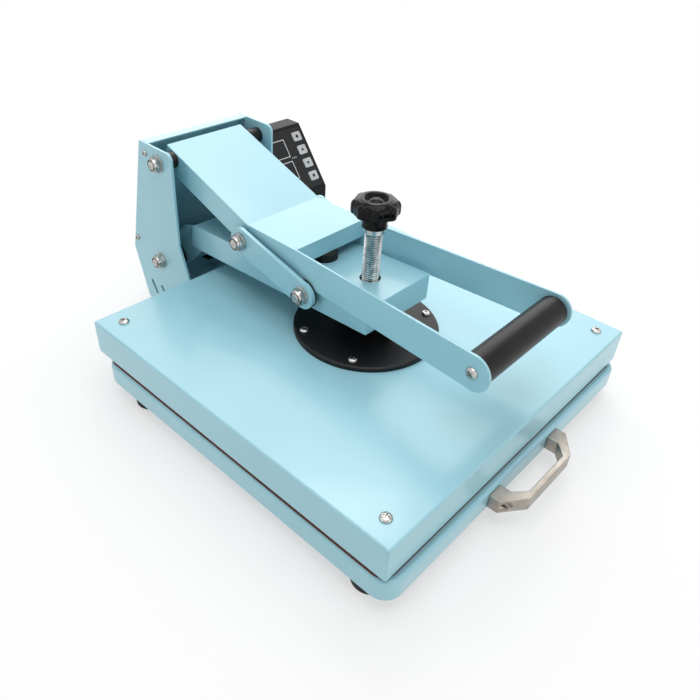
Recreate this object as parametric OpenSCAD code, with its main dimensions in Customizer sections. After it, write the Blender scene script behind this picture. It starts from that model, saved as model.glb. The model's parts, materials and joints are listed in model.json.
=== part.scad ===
// Slide-out clamshell heat press.
// A heated platen under a sheet steel cover hangs from a toggle arm, and the lower
// pad lies on a drawer that pulls out towards the user.
// Origin: on the bench, under the middle of the press. X to the right seen from the
// front, -Y towards the user, +Z up. The press is closed and the drawer is in.
// The modules measure Y from the pressure screw's axis; placed() moves them at the end.

/* [Heat platen] */
// Side of the square heat platen
platen_side = 380; // [370:5:400]
// Thickness of the heat platen
platen_t = 12; // [8:1:13]
// Room between the platen's edge and the outside of its cover
cover_margin = 10; // [6:1:14]
// Height of the cover's skirt
cover_h = 37; // [35:1:46]
// Sheet thickness of the cover
cover_t = 1.8; // [1.2:0.2:2.4]
// How far the platen's face stands below the skirt
platen_proud = 0.7; // [0.4:0.1:2]
// Distance from the cover's edge to its corner screws
corner_screw_inset = 22; // [19:1:28]

/* [Round flange and swivel] */
// Diameter of the black round flange on the cover
flange_d = 154; // [142:2:170]
// Thickness of the round flange
flange_t = 6; // [4:0.5:7]
// Bevel round the flange's upper edge
flange_bevel = 2; // [1:0.5:3]
// Distance from the flange's edge to its screws
flange_screw_inset = 9; // [8:0.5:12]
// Height of the swivel housing above the flange
swivel_h = 16; // [14:1:18]
// Diameter of the swivel housing
swivel_d = 44; // [40:1:46]

/* [Drawer] */
// How far the tray is wider than the cover on each side
tray_over = 2; // [0:0.5:6]
// How far the tray stands out in front of the cover
tray_front_over = 6; // [3:1:12]
// How far the tray ends before the cover's back edge
tray_rear_inset = 11; // [8:1:16]
// Height of the pressed tray
tray_h = 21.8; // [21:0.2:26]
// Sheet thickness of the tray
tray_t = 1.5; // [1:0.1:1.8]
// Radius of the tray's upright corners
tray_corner_r = 18; // [12:1:24]
// Radius along the tray's upper edge
tray_edge_r = 4; // [3:0.5:6]
// Thickness of the silicone pad
pad_t = 4.7; // [3:0.1:8]
// How far the drawer pulls out
drawer_travel = 250; // [180:10:260]
// Length of each drawer slide
slide_len = 340; // [320:5:350]
// Height of a drawer slide
slide_h = 17; // [16:0.5:18]

/* [Base] */
// Height of the rubber feet
foot_h = 13; // [10:1:18]
// Diameter of the rubber feet
foot_d = 36; // [28:1:40]
// Distance of the front and middle feet from the base plate's long edges
foot_inset = 18; // [16:1:30]
// Thickness of the base plate
base_t = 3; // [2:0.5:4]

/* [Column] */
// Distance between the side plates' inner faces
column_in_w = 138; // [136:1:148]
// Thickness of the side plates
column_t = 3; // [2.5:0.5:4]
// Height of the side plates' top above the upper pivot
column_top_over = 16.5; // [14:0.5:24]
// Lower pivot behind the cover's back edge
lower_pivot_back = 65; // [63:1:68]
// Lower pivot below the cover's top
lower_pivot_drop = 5.5; // [4:0.5:7]
// Upper pivot above the lower pivot
pivot_rise = 127; // [125:0.5:129]
// Upper pivot ahead of the lower pivot
pivot_lead = 18; // [15:1:20]
// Number of cooling slots in each side plate
vent_count = 3; // [1:1:3]

/* [Lever] */
// Outside width of the folded lever
lever_w = 104; // [102.5:0.5:106]
// Sheet thickness of the lever
lever_t = 2.5; // [2:0.25:3]
// Slope of the lever's upper panel
panel_slope = 19.5; // [19:0.1:20]
// Height of the upper panel's top face over its pivot
panel_over = 9.3; // [9:0.1:10]
// Length of the upper panel ahead of its pivot
panel_len = 125; // [122:1:128]
// Length of the upper panel behind its pivot
panel_tail = 14; // [12.5:0.5:15.5]
// Depth of the upper panel's side flanges
flange_depth = 28; // [26:0.5:29]
// Length of the level panel ahead of the crease
deck_len = 69; // [66:1:72]
// Depth of the flange along the level panel's front edge
deck_lip = 20; // [16:1:21]
// Height of the lever's two side arms
side_arm_h = 33; // [31:0.5:33.5]
// Distance from the crease to the grip
side_arm_reach = 294; // [270:2:320]
// How far each side arm spreads outwards
side_arm_spread = 16; // [10:1:20]
// Diameter of the grip
grip_d = 30; // [26:1:32]

/* [Arm and links] */
// Gap between the arm and each side of the lever
arm_side_gap = 1; // [0.5:0.25:2.5]
// Height of the toggle arm's channel
arm_h = 30; // [28:0.5:31]
// Sheet thickness of the toggle arm
arm_t = 3; // [2.5:0.5:4]
// Slope of the arm, rising towards its front
arm_slope = 3.3; // [2.8:0.1:3.6]
// Gap between the cover and the arm at the screw
arm_gap = 31; // [29:0.5:32]
// How far the arm's nose stands ahead of the screw
arm_nose = 39; // [38:0.5:46]
// Link pin on the lever, behind the screw
lever_pin_back = 128; // [126:0.5:130]
// Link pin on the lever, below the upper pivot
lever_pin_drop = 50; // [49:0.5:51]
// Link pin on the arm, behind the screw
arm_pin_back = 37; // [34:1:40]
// Link pin on the arm, above the arm's lower edge at the screw
arm_pin_rise = 17.5; // [17:0.5:18]
// Width of the link bars
link_w = 30; // [26:1:32]
// Thickness of the link bars
link_t = 4.5; // [4:0.5:6]

/* [Screw and knob] */
// Diameter of the pressure screw
screw_d = 17.6; // [16:0.2:18.4]
// Length of the screw that shows between the arm and its collar
screw_show = 52; // [44:1:56]
// Diameter of the star knob over its lobes
knob_d = 48; // [46:1:56]
// Height of the knob's lobed head
knob_head_h = 16; // [14:0.5:20]
// Height of the knob's hub below the head
knob_hub_h = 13.5; // [12:0.5:18]
// Number of lobes on the knob
knob_lobes = 8; // [6:1:9]

/* [Control box] */
// Width of the control box
box_w = 88; // [84:1:94]
// Depth of the control box's top
box_top_d = 21.5; // [20:0.5:26]
// Gap between the control box and the pivot nuts above and below it
box_nut_gap = 2.1; // [1:0.1:4]
// Depth that the sloping front takes
box_slope_d = 53.5; // [52:0.5:55]
// Height that the sloping front takes
box_slope_h = 70.5; // [68:0.5:74]
// Wall thickness of the control box
box_wall = 2.5; // [2:0.5:3]
// Width of a push button
button_w = 14; // [12:0.5:15]
// Height of a push button
button_h = 12; // [10:0.5:13]
// Distance between two push buttons
button_pitch = 18; // [17:0.5:18.5]
// Travel of a push button
button_travel = 1.2; // [0.8:0.1:1.4]

/* [Pull handle] */
// Length of the pull handle over its feet
handle_w = 123; // [116:1:136]
// How far the handle stands out from the tray
handle_out = 29; // [26:1:36]
// Height of the handle's bar
handle_h = 15.5; // [13:0.5:16]
// Length of the handle's straight bar
handle_bar_w = 74; // [66:1:80]
// Thickness of the handle's bar
handle_bar_t = 5.8; // [5:0.2:8]

/* [Hidden] */

// Paint and material colours
blue = [0.64, 0.86, 0.91];
black = [0.07, 0.07, 0.08];
steel = [0.78, 0.79, 0.8];
cast = [0.66, 0.64, 0.61];
brown = [0.3, 0.13, 0.08];
grey = [0.5, 0.51, 0.53];
white = [0.9, 0.9, 0.9];
green = [0.1, 0.35, 0.2];

// Clearances, and one overrun for cuts
over = 1;
seat = 0.3;
slip = 0.05;
lap = 0.4;

// Small screws and nuts, as radii and heights
small_r = 2;
small_head_r = 3.6;
small_head_h = 2.4;
small_len = 9;
platen_screw_r = 2.5;
corner_head_r = 5.5;
flange_head_r = 4.6;
platen_head_h = 3;
pan_dome_share = 1.35;
stud_d = 10;
stud_show = 0.8;
nut_af = 16;
nut_h = 9;
nut_collar_r = 9.4;
nut_collar_h = 1.6;
nut_dome_share = 0.62;

// Heights from the bench up
base_top = foot_h + base_t;
tray_lift = 1.5;
tray_z = base_top + tray_lift;
tray_top = tray_z + tray_h;
pad_top = tray_top + pad_t;
platen_z = pad_top + seat;
platen_top = platen_z + platen_t;
cover_z = platen_z + platen_proud;
cover_top = cover_z + cover_h;
flange_top = cover_top + flange_t;
swivel_top = flange_top + swivel_h;

// Outlines of the cover and the drawer
cover_side = platen_side + 2 * cover_margin;
tray_w = cover_side + 2 * tray_over;
tray_y0 = -cover_side / 2 - tray_front_over;
tray_y1 = cover_side / 2 - tray_rear_inset;
tray_d = tray_y1 - tray_y0;
tray_y = (tray_y0 + tray_y1) / 2;

// The column carries the lever at p1 and the arm at p2, both as [y, z]
p2 = [cover_side / 2 + lower_pivot_back, cover_top - lower_pivot_drop];
p1 = [p2[0] - pivot_lead, p2[1] + pivot_rise];
shaft1_d = 12;
shaft2_d = 16;
column_in = column_in_w / 2;
column_out = column_in + column_t;

// Shared shapes

// Points of an arc round c from angle a to angle b
function arc(c, r, a, b, n) =
    [for (i = [0:n]) c + r * [cos(a + (b - a) * i / n), sin(a + (b - a) * i / n)]];
// Unit normal to the left of the way from a to b
function left_of(a, b) = [a[1] - b[1], b[0] - a[0]] / norm(b - a);
// The corner p moved sideways by d, between the normals m and n
function mitre(p, m, n, d) = p + (m + n) * d / (1 + m * n);
// An open line moved to its left by d
function shifted(p, d) = [for (i = [0:len(p) - 1])
    let (m = i == 0 ? left_of(p[0], p[1]) : left_of(p[i - 1], p[i]),
        n = i == len(p) - 1 ? m : left_of(p[i], p[i + 1]))
    mitre(p[i], m, n, d)];
// A closed outline moved to its left by d
function inset(p, d) = [for (i = [0:len(p) - 1])
    mitre(p[i], left_of(p[(i + len(p) - 1) % len(p)], p[i]), left_of(p[i], p[(i + 1) % len(p)]), d)];
function reversed(p) = [for (i = [len(p) - 1:-1:0]) p[i]];
function mirrored(p) = [for (q = p) [-q[0], q[1]]];
// Section of a bent sheet: the line p with the thickness t on its left
function bent(p, t) = concat(p, reversed(shifted(p, t)));

// Extrudes a [y, z] outline along X
module along_x(x0, x1)
    translate([x0, 0, 0]) rotate([90, 0, 90]) linear_extrude(x1 - x0) children();

// Extrudes an [x, z] outline along Y
module along_y(y0, y1)
    translate([0, y1, 0]) rotate([90, 0, 0]) linear_extrude(y1 - y0) children();

// A cylinder along X at p = [y, z]
module rod_x(p, r, x0, x1)
    translate([x0, p[0], p[1]]) rotate([0, 90, 0]) cylinder(r = r, h = x1 - x0, $fn = 64);

// The same piece on both sides of the centre plane
module both_sides() {
    children();
    mirror([1, 0, 0]) children();
}

// A centred rectangle with round corners
module round_rect(w, d, r) {
    square([w - 2 * r, d], center = true);
    square([w, d - 2 * r], center = true);
    for (x = [-1, 1], y = [-1, 1])
        translate([x * (w / 2 - r), y * (d / 2 - r)]) circle(r, $fn = 48);
}

// Half section of a post of radius r whose upper edge has the radius e
module post_half(r, h, e) {
    square([r, h - e]);
    square([r - e, h]);
    translate([r - e, h - e])
        intersection() {
            circle(e, $fn = 48);
            square(e);
        }
}

// A block with round upright corners and a round upper edge, on z = 0
module soft_block(w, d, h, r, e) {
    for (x = [-1, 1], y = [-1, 1])
        translate([x * (w / 2 - r), y * (d / 2 - r), 0])
            rotate_extrude($fn = 64) post_half(r, h, e);
    for (way = [[w, d, 0], [d, w, 90]])
        rotate(way[2])
            rotate([90, 0, 0])
                linear_extrude(way[1] - 2 * r, center = true)
                    for (s = [0, 1])
                        mirror([s, 0]) {
                            square([way[0] / 2 - r, h]);
                            translate([way[0] / 2 - r, 0]) post_half(r, h, e);
                        }
}

// A pan head screw: the head stands on z = 0 and the shank runs down
module pan_screw(head_r, head_h, shank_r, shank_l) {
    rotate_extrude($fn = 48)
        intersection() {
            square([head_r, head_h]);
            translate([0, head_h - head_r * pan_dome_share]) circle(head_r * pan_dome_share, $fn = 96);
        }
    translate([0, 0, -shank_l]) cylinder(r = shank_r, h = shank_l, $fn = 32);
}

// A small case screw whose head faces +X or, with way = -1, -X
module case_screw(x, p, way)
    translate([x, p[0], p[1]]) rotate([0, way * 90, 0]) pan_screw(small_head_r, small_head_h, small_r, small_len);

// A collar nut along +X, its collar on x = 0
module collar_nut() {
    rotate([0, 90, 0])
        difference() {
            union() {
                cylinder(r = nut_collar_r, h = nut_collar_h, $fn = 48);
                intersection() {
                    cylinder(d = nut_af / cos(30), h = nut_h, $fn = 6);
                    rotate_extrude($fn = 48)
                        intersection() {
                            square([nut_af, nut_h]);
                            translate([0, nut_h - nut_af * nut_dome_share]) circle(nut_af * nut_dome_share, $fn = 96);
                        }
                }
            }
            translate([0, 0, -over]) cylinder(r = stud_d / 2 + slip, h = nut_h + 2 * over, $fn = 48);
        }
}

// Base

base_side_inset = 4;
base_front_inset = 11;
base_corner_r = 12;
base_w = tray_w - 2 * base_side_inset;
base_y0 = tray_y0 + base_front_inset;
base_y1 = tray_y1;
tongue_back = 37;
tongue_y1 = p2[0] + tongue_back;

// Drawer slides: the outer member on an upright rail, the inner on the tray's bracket
slide_side_gap = 41;
slide_w = 10.3;
slide_t = 1.2;
slide_lift = 1.8;
slide_x = tray_w / 2 - slide_side_gap;
slide_z = base_top + slide_lift + slide_h / 2;
slide_front_inset = 20;
slide_y0 = tray_y0 + slide_front_inset;
slide_y1 = slide_y0 + slide_len;
slide_lip_share = 0.82;
slide_inner_share = 0.31;
cage_in = 1.9;
cage_t = 0.8;
cage_lip_share = 0.76;
ball_d = 3;
ball_x_share = 0.57;
ball_pitch = 10;
race_out = slide_h / 2 - slide_t;
ball_off = race_out - seat - ball_d / 2;
race_in = ball_off - ball_d / 2 - seat;
rail_t = 2.5;
rail_foot_w = 20;
cage_len = slide_len - drawer_travel - slide_t;
cage_y0 = slide_y0 + drawer_travel / 2;

// Glide strips under the tray's ribs
rib_w = 20;
rib_spacing = 80;
rib_t = 1.5;
strip_t = tray_lift - seat;
strip_margin = 2;
strip_end = 12;

rear_foot_side = 48;
rear_foot_inset = 20;
front_foot_in = 23;
middle_foot_in = 51;
foot_bevel = 3;
foot_dish_r = 9;
foot_dish_h = 3;
feet = [for (s = [-1, 1], f = [[base_w / 2 - foot_inset, base_y0 + front_foot_in],
        [base_w / 2 - foot_inset, base_y1 - middle_foot_in],
        [rear_foot_side, tongue_y1 - rear_foot_inset]]) [s * f[0], f[1]]];

module base_plate()
    color(blue) {
        translate([0, 0, foot_h])
            linear_extrude(base_t) {
                translate([0, (base_y0 + base_y1) / 2]) round_rect(base_w, base_y1 - base_y0, base_corner_r);
                translate([-column_in, base_y1 - base_corner_r])
                    square([column_in_w, tongue_y1 - base_y1 + base_corner_r]);
            }
        both_sides()
            along_y(slide_y0, slide_y1) {
                translate([slide_x - rail_t, base_top - lap]) square([rail_t, slide_lift + slide_h + lap]);
                translate([slide_x - rail_foot_w, base_top - lap]) square([rail_foot_w, rail_t + lap]);
            }
    }

module rubber_feet()
    color(black)
        for (f = feet)
            translate([f[0], f[1], 0])
                rotate_extrude($fn = 64)
                    difference() {
                        polygon([[0, 0], [foot_d / 2 - foot_bevel, 0], [foot_d / 2, foot_bevel],
                            [foot_d / 2, foot_h], [0, foot_h]]);
                        translate([0, -over]) square([foot_dish_r, foot_dish_h + over]);
                    }

module glide_strips()
    color(black)
        for (x = [-1:1])
            translate([x * rib_spacing - rib_w / 2 - strip_margin, base_y0 + strip_end, base_top])
                cube([rib_w + 2 * strip_margin, base_y1 - base_y0 - 2 * strip_end, strip_t]);

// A slide member's section from x = a to x = b, open on the side away from its web
module slide_channel(a, b, half, web_x) {
    for (z = [-half, half - slide_t]) translate([a, z]) square([b - a, slide_t]);
    translate([web_x, -half]) square([slide_t, 2 * half]);
}

module slide_outers()
    color(steel)
        both_sides()
            along_y(slide_y0, slide_y1)
                translate([slide_x, slide_z]) slide_channel(0, slide_w * slide_lip_share, slide_h / 2, 0);

module slide_inners()
    color(steel)
        both_sides()
            along_y(slide_y0, slide_y1)
                translate([slide_x, slide_z])
                    slide_channel(slide_w * slide_inner_share, slide_w, race_in, slide_w - slide_t);

function ball_ys() = [for (y = [cage_y0 + ball_pitch / 2:ball_pitch:cage_y0 + cage_len - ball_pitch / 2]) y];

module ball_cages()
    color(steel)
        both_sides()
            difference() {
                along_y(cage_y0, cage_y0 + cage_len)
                    translate([slide_x, slide_z]) {
                        for (s = [-1, 1])
                            translate([cage_in, s * ball_off - cage_t / 2])
                                square([slide_w * cage_lip_share - cage_in, cage_t]);
                        translate([cage_in, -ball_off - cage_t / 2]) square([cage_t, 2 * ball_off + cage_t]);
                    }
                for (y = ball_ys())
                    translate([slide_x + slide_w * ball_x_share, y, slide_z - slide_h / 2])
                        cylinder(r = ball_d / 2 + slip, h = slide_h, $fn = 32);
            }

module bearing_balls()
    color(steel)
        both_sides()
            for (y = ball_ys(), s = [-1, 1])
                translate([slide_x + slide_w * ball_x_share, y, slide_z + s * ball_off])
                    sphere(d = ball_d, $fn = 32);

// Drawer

bracket_t = 2;
bracket_flange = 18;
bracket_x = slide_x + slide_w;
notch_over = 1.2;
rib_end = 8;
pad_inset = 1;
pad_rear_inset = 2;
pad_corner_r = 14;
under_tray = tray_top - tray_t;

// The pull handle is a cast bar bent forward from two feet
handle_lift = 1.5;
handle_z = tray_z + handle_lift;
handle_foot_w = 18.5;
handle_shoulder = 10.5;
handle_inner_step = 1.3;
handle_inner_in = 6;
handle_screw_in = 7.2;
handle_screw_x = handle_w / 2 - handle_screw_in;
handle_screw_r = 2.5;
handle_head_r = 4.2;
handle_head_h = 5;
handle_sink_r = 5.3;
handle_floor = 5;
handle_nut_af = 8;
handle_nut_h = 4;
handle_end = 1.5;
handle_lug = handle_w / 2 - handle_foot_w;
handle_outer = [[handle_w / 2, 0], [handle_w / 2, -handle_shoulder], [handle_bar_w / 2, -handle_out]];
handle_inner = [[handle_lug, 0], [handle_lug, -handle_shoulder - handle_inner_step],
    [handle_bar_w / 2 - handle_inner_in, -handle_out + handle_bar_t]];

module drawer_tray()
    color(blue) {
        difference() {
            translate([0, tray_y, tray_z]) soft_block(tray_w, tray_d, tray_h, tray_corner_r, tray_edge_r);
            translate([0, tray_y, tray_z - over])
                soft_block(tray_w - 2 * tray_t, tray_d - 2 * tray_t, tray_h - tray_t + over,
                    tray_corner_r - tray_t, tray_edge_r - tray_t);
            translate([-bracket_x - bracket_t, tray_y1 - tray_t - over, tray_z - over])
                cube([2 * (bracket_x + bracket_t), tray_t + 2 * over,
                    slide_z + slide_h / 2 + notch_over - tray_z + over]);
            for (s = [-1, 1])
                translate([s * handle_screw_x, tray_y0 - over, handle_z + handle_h / 2])
                    rotate([-90, 0, 0]) cylinder(r = handle_screw_r + slip, h = tray_t + 2 * over, $fn = 32);
        }
        both_sides()
            along_y(slide_y0, slide_y1) {
                translate([bracket_x, slide_z - slide_h / 2]) square([bracket_t, under_tray - slide_z + slide_h / 2]);
                translate([bracket_x, under_tray - bracket_t]) square([bracket_flange, bracket_t + lap]);
            }
    }

// Three box sections along the tray's underside
module tray_ribs()
    color(blue)
        for (x = [-1:1])
            along_y(tray_y0 + tray_t + rib_end, tray_y1 - tray_t - rib_end)
                translate([x * rib_spacing, tray_z])
                    difference() {
                        translate([-rib_w / 2, 0]) square([rib_w, under_tray - tray_z]);
                        translate([-rib_w / 2 + rib_t, rib_t])
                            square([rib_w - 2 * rib_t, under_tray - tray_z - 2 * rib_t]);
                    }

module silicone_pad()
    color(brown)
        translate([0, (tray_y1 - pad_rear_inset - cover_side / 2 + pad_inset) / 2, tray_top])
            linear_extrude(pad_t)
                round_rect(cover_side - 2 * pad_inset,
                    tray_y1 - pad_rear_inset + cover_side / 2 - pad_inset, pad_corner_r);

module pull_handle()
    color(cast)
        difference() {
            translate([0, tray_y0, handle_z])
                linear_extrude(handle_h)
                    polygon(concat(handle_outer, reversed(mirrored(handle_outer)), mirrored(handle_inner),
                        reversed(handle_inner)));
            for (s = [-1, 1])
                translate([s * handle_screw_x, tray_y0, handle_z + handle_h / 2])
                    rotate([90, 0, 0]) {
                        translate([0, 0, -over]) cylinder(r = handle_screw_r + slip, h = handle_out, $fn = 32);
                        translate([0, 0, handle_floor]) cylinder(r = handle_sink_r, h = handle_out, $fn = 48);
                    }
        }

module handle_screws()
    color(steel)
        for (s = [-1, 1])
            translate([s * handle_screw_x, tray_y0 - handle_floor, handle_z + handle_h / 2])
                rotate([-90, 0, 0])
                    difference() {
                        union() {
                            translate([0, 0, -handle_head_h]) cylinder(r = handle_head_r, h = handle_head_h, $fn = 48);
                            cylinder(r = handle_screw_r, h = handle_floor + tray_t + handle_nut_h + handle_end, $fn = 32);
                            translate([0, 0, handle_floor + tray_t])
                                cylinder(d = handle_nut_af / cos(30), h = handle_nut_h, $fn = 6);
                        }
                        translate([0, 0, -handle_head_h - over])
                            cylinder(r = handle_screw_r, h = handle_head_h / 2 + over, $fn = 6);
                    }

// Control box: its sizes

box_front_gap = 17;
box_top_drop = nut_collar_r + box_nut_gap;
box_h = pivot_rise - 2 * box_top_drop;
box_chin = 4;
box_x0 = column_out;
box_x1 = box_x0 + box_w;
box_y0 = cover_side / 2 + box_front_gap;
box_z1 = p1[1] - box_top_drop;
box_z0 = box_z1 - box_h;
box_y1 = box_y0 + box_slope_d + box_top_d;
slope_top = [box_y0 + box_slope_d, box_z1];
slope_len = norm([box_slope_d, box_slope_h]);
slope_a = atan2(box_slope_h, box_slope_d);
box_outline = [[box_y0, box_z0 + box_chin], [box_y0 + box_chin, box_z0], [box_y1, box_z0],
    [box_y1, box_z1], slope_top, [box_y0, box_z1 - box_slope_h]];
side_fix_in = 11.4;
box_side_fix = slope_top + [side_fix_in - box_slope_d / 2, -box_slope_h / 2];
box_fix_high = 14;
box_fix_low = 17;
box_fix_back = 33;
box_fix_mid = 21;
box_fix_front = 11;
box_fix = [[p1[0] + box_fix_mid, box_z1 - box_fix_high], [p1[0] + box_fix_back, box_z0 + box_fix_low],
    [p1[0] - box_fix_front, box_z0 + box_fix_low]];

// Column

plate_bottom_gap = 5.5;
plate_bottom = foot_h - plate_bottom_gap;
plate_top = p1[1] + column_top_over;
plate_top_back = 33;
plate_top_front = 24;
plate_knee_back = 57;
plate_knee_drop = 3.5;
plate_foot_back = 39;
plate_foot_front = 55;
plate_waist_front = 40;
plate_waist_rise = 34.5;
plate_heel_drop = 8.5;
plate_corner_r = 8;
vent_w = 5;
vent_l = 15;
vent_lean = 28;
vent_pitch = 20;
vent_back = 23;
vent_drop = 47.5;
back_t = 2;
back_inset = 1;
back_lip = 12.5;
back_flange = 12;
front_sheet_inset = 4;
front_sheet_t = 2;
front_sheet_drop = 26.5;
front_sheet_lip = 14;
front_sheet_y = p2[0] - plate_foot_front + front_sheet_inset;
plate_rear = [[p2[0] + plate_foot_back, plate_bottom],
    [p2[0] + plate_knee_back, p2[1] - plate_knee_drop],
    [p1[0] + plate_top_back, plate_top]];
plate_outline = concat([[p2[0] - plate_foot_front, plate_bottom]], plate_rear,
    arc([p1[0] - plate_top_front + plate_corner_r, plate_top - plate_corner_r], plate_corner_r, 90, 180, 8),
    [[p2[0] - plate_waist_front, p2[1] + plate_waist_rise],
    [p2[0] - plate_foot_front, p2[1] - plate_heel_drop]]);
back_line = [for (p = plate_rear) p - [back_inset, 0]];
back_path = concat(back_line, [back_line[2] - [back_lip, 0]]);

// Case screws, as [y, z]
case_top_in = 8.7;
case_top_down = 11.8;
case_low_in = 5.6;
case_low_share = 0.11;
case_top = back_line[2] - [case_top_in, case_top_down];
case_low = back_line[1] + (back_line[2] - back_line[1]) * case_low_share - [case_low_in, 0];

module column_plate(screws)
    along_x(column_in, column_out)
        difference() {
            polygon(plate_outline);
            for (p = [p1, p2]) translate(p) circle(stud_d / 2 + slip, $fn = 48);
            for (p = screws) translate(p) circle(small_r + slip, $fn = 32);
            for (i = [0:vent_count - 1])
                translate(p2 + [vent_back - i * vent_pitch, -vent_drop])
                    rotate(-vent_lean) {
                        square([vent_w, vent_l], center = true);
                        for (s = [-1, 1]) translate([0, s * vent_l / 2]) circle(vent_w / 2, $fn = 32);
                    }
        }

module column_plate_left() color(blue) mirror([1, 0, 0]) column_plate([case_top, case_low]);
module column_plate_right() color(blue) column_plate(concat([case_top, case_low], box_fix));

// Power inlet and switch, side by side on the low part of the back sheet
port_x = 28;
port_w = 24;
port_h = 31;
port_depth = 17;
port_cut_w = 20;
port_cut_h = 27.5;
port_rim = 2;
port_mid = (back_line[0] + back_line[1]) / 2;
port_lean = atan2(back_line[1][0] - back_line[0][0], back_line[1][1] - back_line[0][1]);
// Local frame on the back sheet: +Z outwards, +Y down
module at_port(x) translate([x, port_mid[0], port_mid[1]]) rotate([-90 - port_lean, 0, 0]) children();

module column_back_sheet()
    color(blue)
        difference() {
            union() {
                along_x(-column_in, column_in) polygon(bent(back_path, back_t));
                both_sides()
                    along_x(column_in - back_t, column_in)
                        intersection() {
                            polygon(bent(back_path, back_t + back_flange));
                            translate([0, base_top + seat]) square(2 * plate_top);
                        }
            }
            for (s = [-1, 1])
                at_port(s * port_x)
                    translate([0, 0, -back_t - over])
                        linear_extrude(back_t + 2 * over) square([port_cut_w, port_cut_h], center = true);
            for (p = [case_top, case_low]) rod_x(p, small_r + slip, -column_in - over, column_in + over);
        }

module column_front_sheet()
    color(blue)
        along_x(-column_in, column_in)
            polygon(bent([[front_sheet_y, base_top], [front_sheet_y, p2[1] - front_sheet_drop],
                [front_sheet_y + front_sheet_lip, p2[1] - front_sheet_drop]], -front_sheet_t));

module case_screws()
    color(steel) {
        for (p = [case_top, case_low]) both_sides() case_screw(column_out, p, 1);
        for (p = box_fix) case_screw(column_in, p, -1);
        case_screw(box_x1, box_side_fix, 1);
    }

module pivot_shaft(p, d) {
    rod_x(p, d / 2, -column_in, column_in);
    rod_x(p, stud_d / 2, -column_out - nut_h - stud_show, column_out + nut_h + stud_show);
}

module upper_pivot_shaft() color(steel) pivot_shaft(p1, shaft1_d);
module lower_pivot_shaft() color(steel) pivot_shaft(p2, shaft2_d);

module pivot_nuts()
    color(steel)
        for (p = [p1, p2])
            both_sides() translate([column_out, p[0], p[1]]) collar_nut();

bush1_r = 9;
bush2_r = 14;
module pivot_bush(p, d, r, x0)
    difference() {
        rod_x(p, r, x0, column_in - seat);
        rod_x(p, d / 2 + slip, x0 - over, column_in + over);
    }

module upper_pivot_bushes() color(black) both_sides() pivot_bush(p1, shaft1_d, bush1_r, lever_w / 2 + seat);
module lower_pivot_bushes() color(black) both_sides() pivot_bush(p2, shaft2_d, bush2_r, neck_out + seat);

// Control box: its pieces

back_plate_t = 2;
back_ledge = 3;
panel_t = 1.2;
panel_side = 4;
button_side = 14.5;
button_top = 16.4;
button_gap = 0.3;
button_rise = 1.5;
button_r = 2.5;
button_flange = 1.4;
button_flange_t = 1.5;
stem_r = 2.2;
stem_l = 4;
window_x = 14;
window_h = 19.5;
window_top = 17;
window_pitch = 29;
window_fit = 0.1;
board_t = 1.6;
board_depth = 10;
board_margin = 5;
tact_w = 6;
module_side = 3;
window_button_gap = 13.1;
window_w = box_w - window_x - module_side - window_button_gap - button_flange - button_w / 2 - button_side;
post_r = 3;
slot_side = 22;
slot_w = 30;

// Local frame on the sloping front: +X along it, +Y up the slope, +Z outwards
module on_slope() translate([box_x0, slope_top[0], slope_top[1]]) rotate([slope_a, 0, 0]) children();
function button_at(i) = [box_w - button_side, -button_top - i * button_pitch];
function window_at(i) = [window_x + window_w / 2, -window_top - window_h / 2 - i * window_pitch];

// Openings in the box's front and in its panel
module slope_openings(z0, z1)
    translate([0, 0, z0])
        linear_extrude(z1 - z0) {
            for (i = [0:3])
                translate(button_at(i)) round_rect(button_w + 2 * button_gap, button_h + 2 * button_gap, button_r);
            for (i = [0, 1])
                translate(window_at(i)) square([window_w + 2 * window_fit, window_h + 2 * window_fit], center = true);
        }

module control_box()
    color(black)
        difference() {
            along_x(box_x0, box_x1) polygon(box_outline);
            difference() {
                along_x(box_x0 + box_wall, box_x1 - box_wall)
                    union() {
                        polygon(inset(box_outline, box_wall));
                        translate([box_y1 - 2 * box_wall, box_z0 + box_wall])
                            square([2 * box_wall + over, box_h - 2 * box_wall]);
                    }
                for (x = [box_x0 + box_wall - over, box_x1 - box_wall - back_ledge])
                    translate([x, box_y1 - back_plate_t - back_ledge, box_z0])
                        cube([back_ledge + over, back_ledge, box_h]);
            }
            on_slope() slope_openings(-box_wall - over, over);
            for (p = box_fix) rod_x(p, small_r + slip, box_x0 - over, box_x0 + box_wall + over);
            rod_x(box_side_fix, small_r + slip, box_x1 - box_wall - over, box_x1 + over);
        }

module box_back()
    color(black)
        translate([box_x0 + box_wall + window_fit, box_y1 - back_plate_t, box_z0 + box_wall + window_fit])
            difference() {
                cube([box_w - 2 * box_wall - 2 * window_fit, back_plate_t, box_h - 2 * box_wall - 2 * window_fit]);
                for (i = [1:4])
                    translate([slot_side, -over, i * box_h / 6])
                        cube([slot_w, back_plate_t + 2 * over, box_wall]);
            }

module control_panel()
    color(black)
        on_slope()
            difference() {
                translate([box_w / 2, -slope_len / 2, 0])
                    linear_extrude(panel_t)
                        round_rect(box_w - 2 * panel_side, slope_len - 2 * panel_side, panel_side);
                slope_openings(-over, panel_t + over);
            }

module display_window()
    color(grey)
        on_slope()
            for (i = [0, 1])
                translate(window_at(i))
                    translate([0, 0, -box_wall])
                        linear_extrude(box_wall + panel_t) square([window_w, window_h], center = true);

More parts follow.
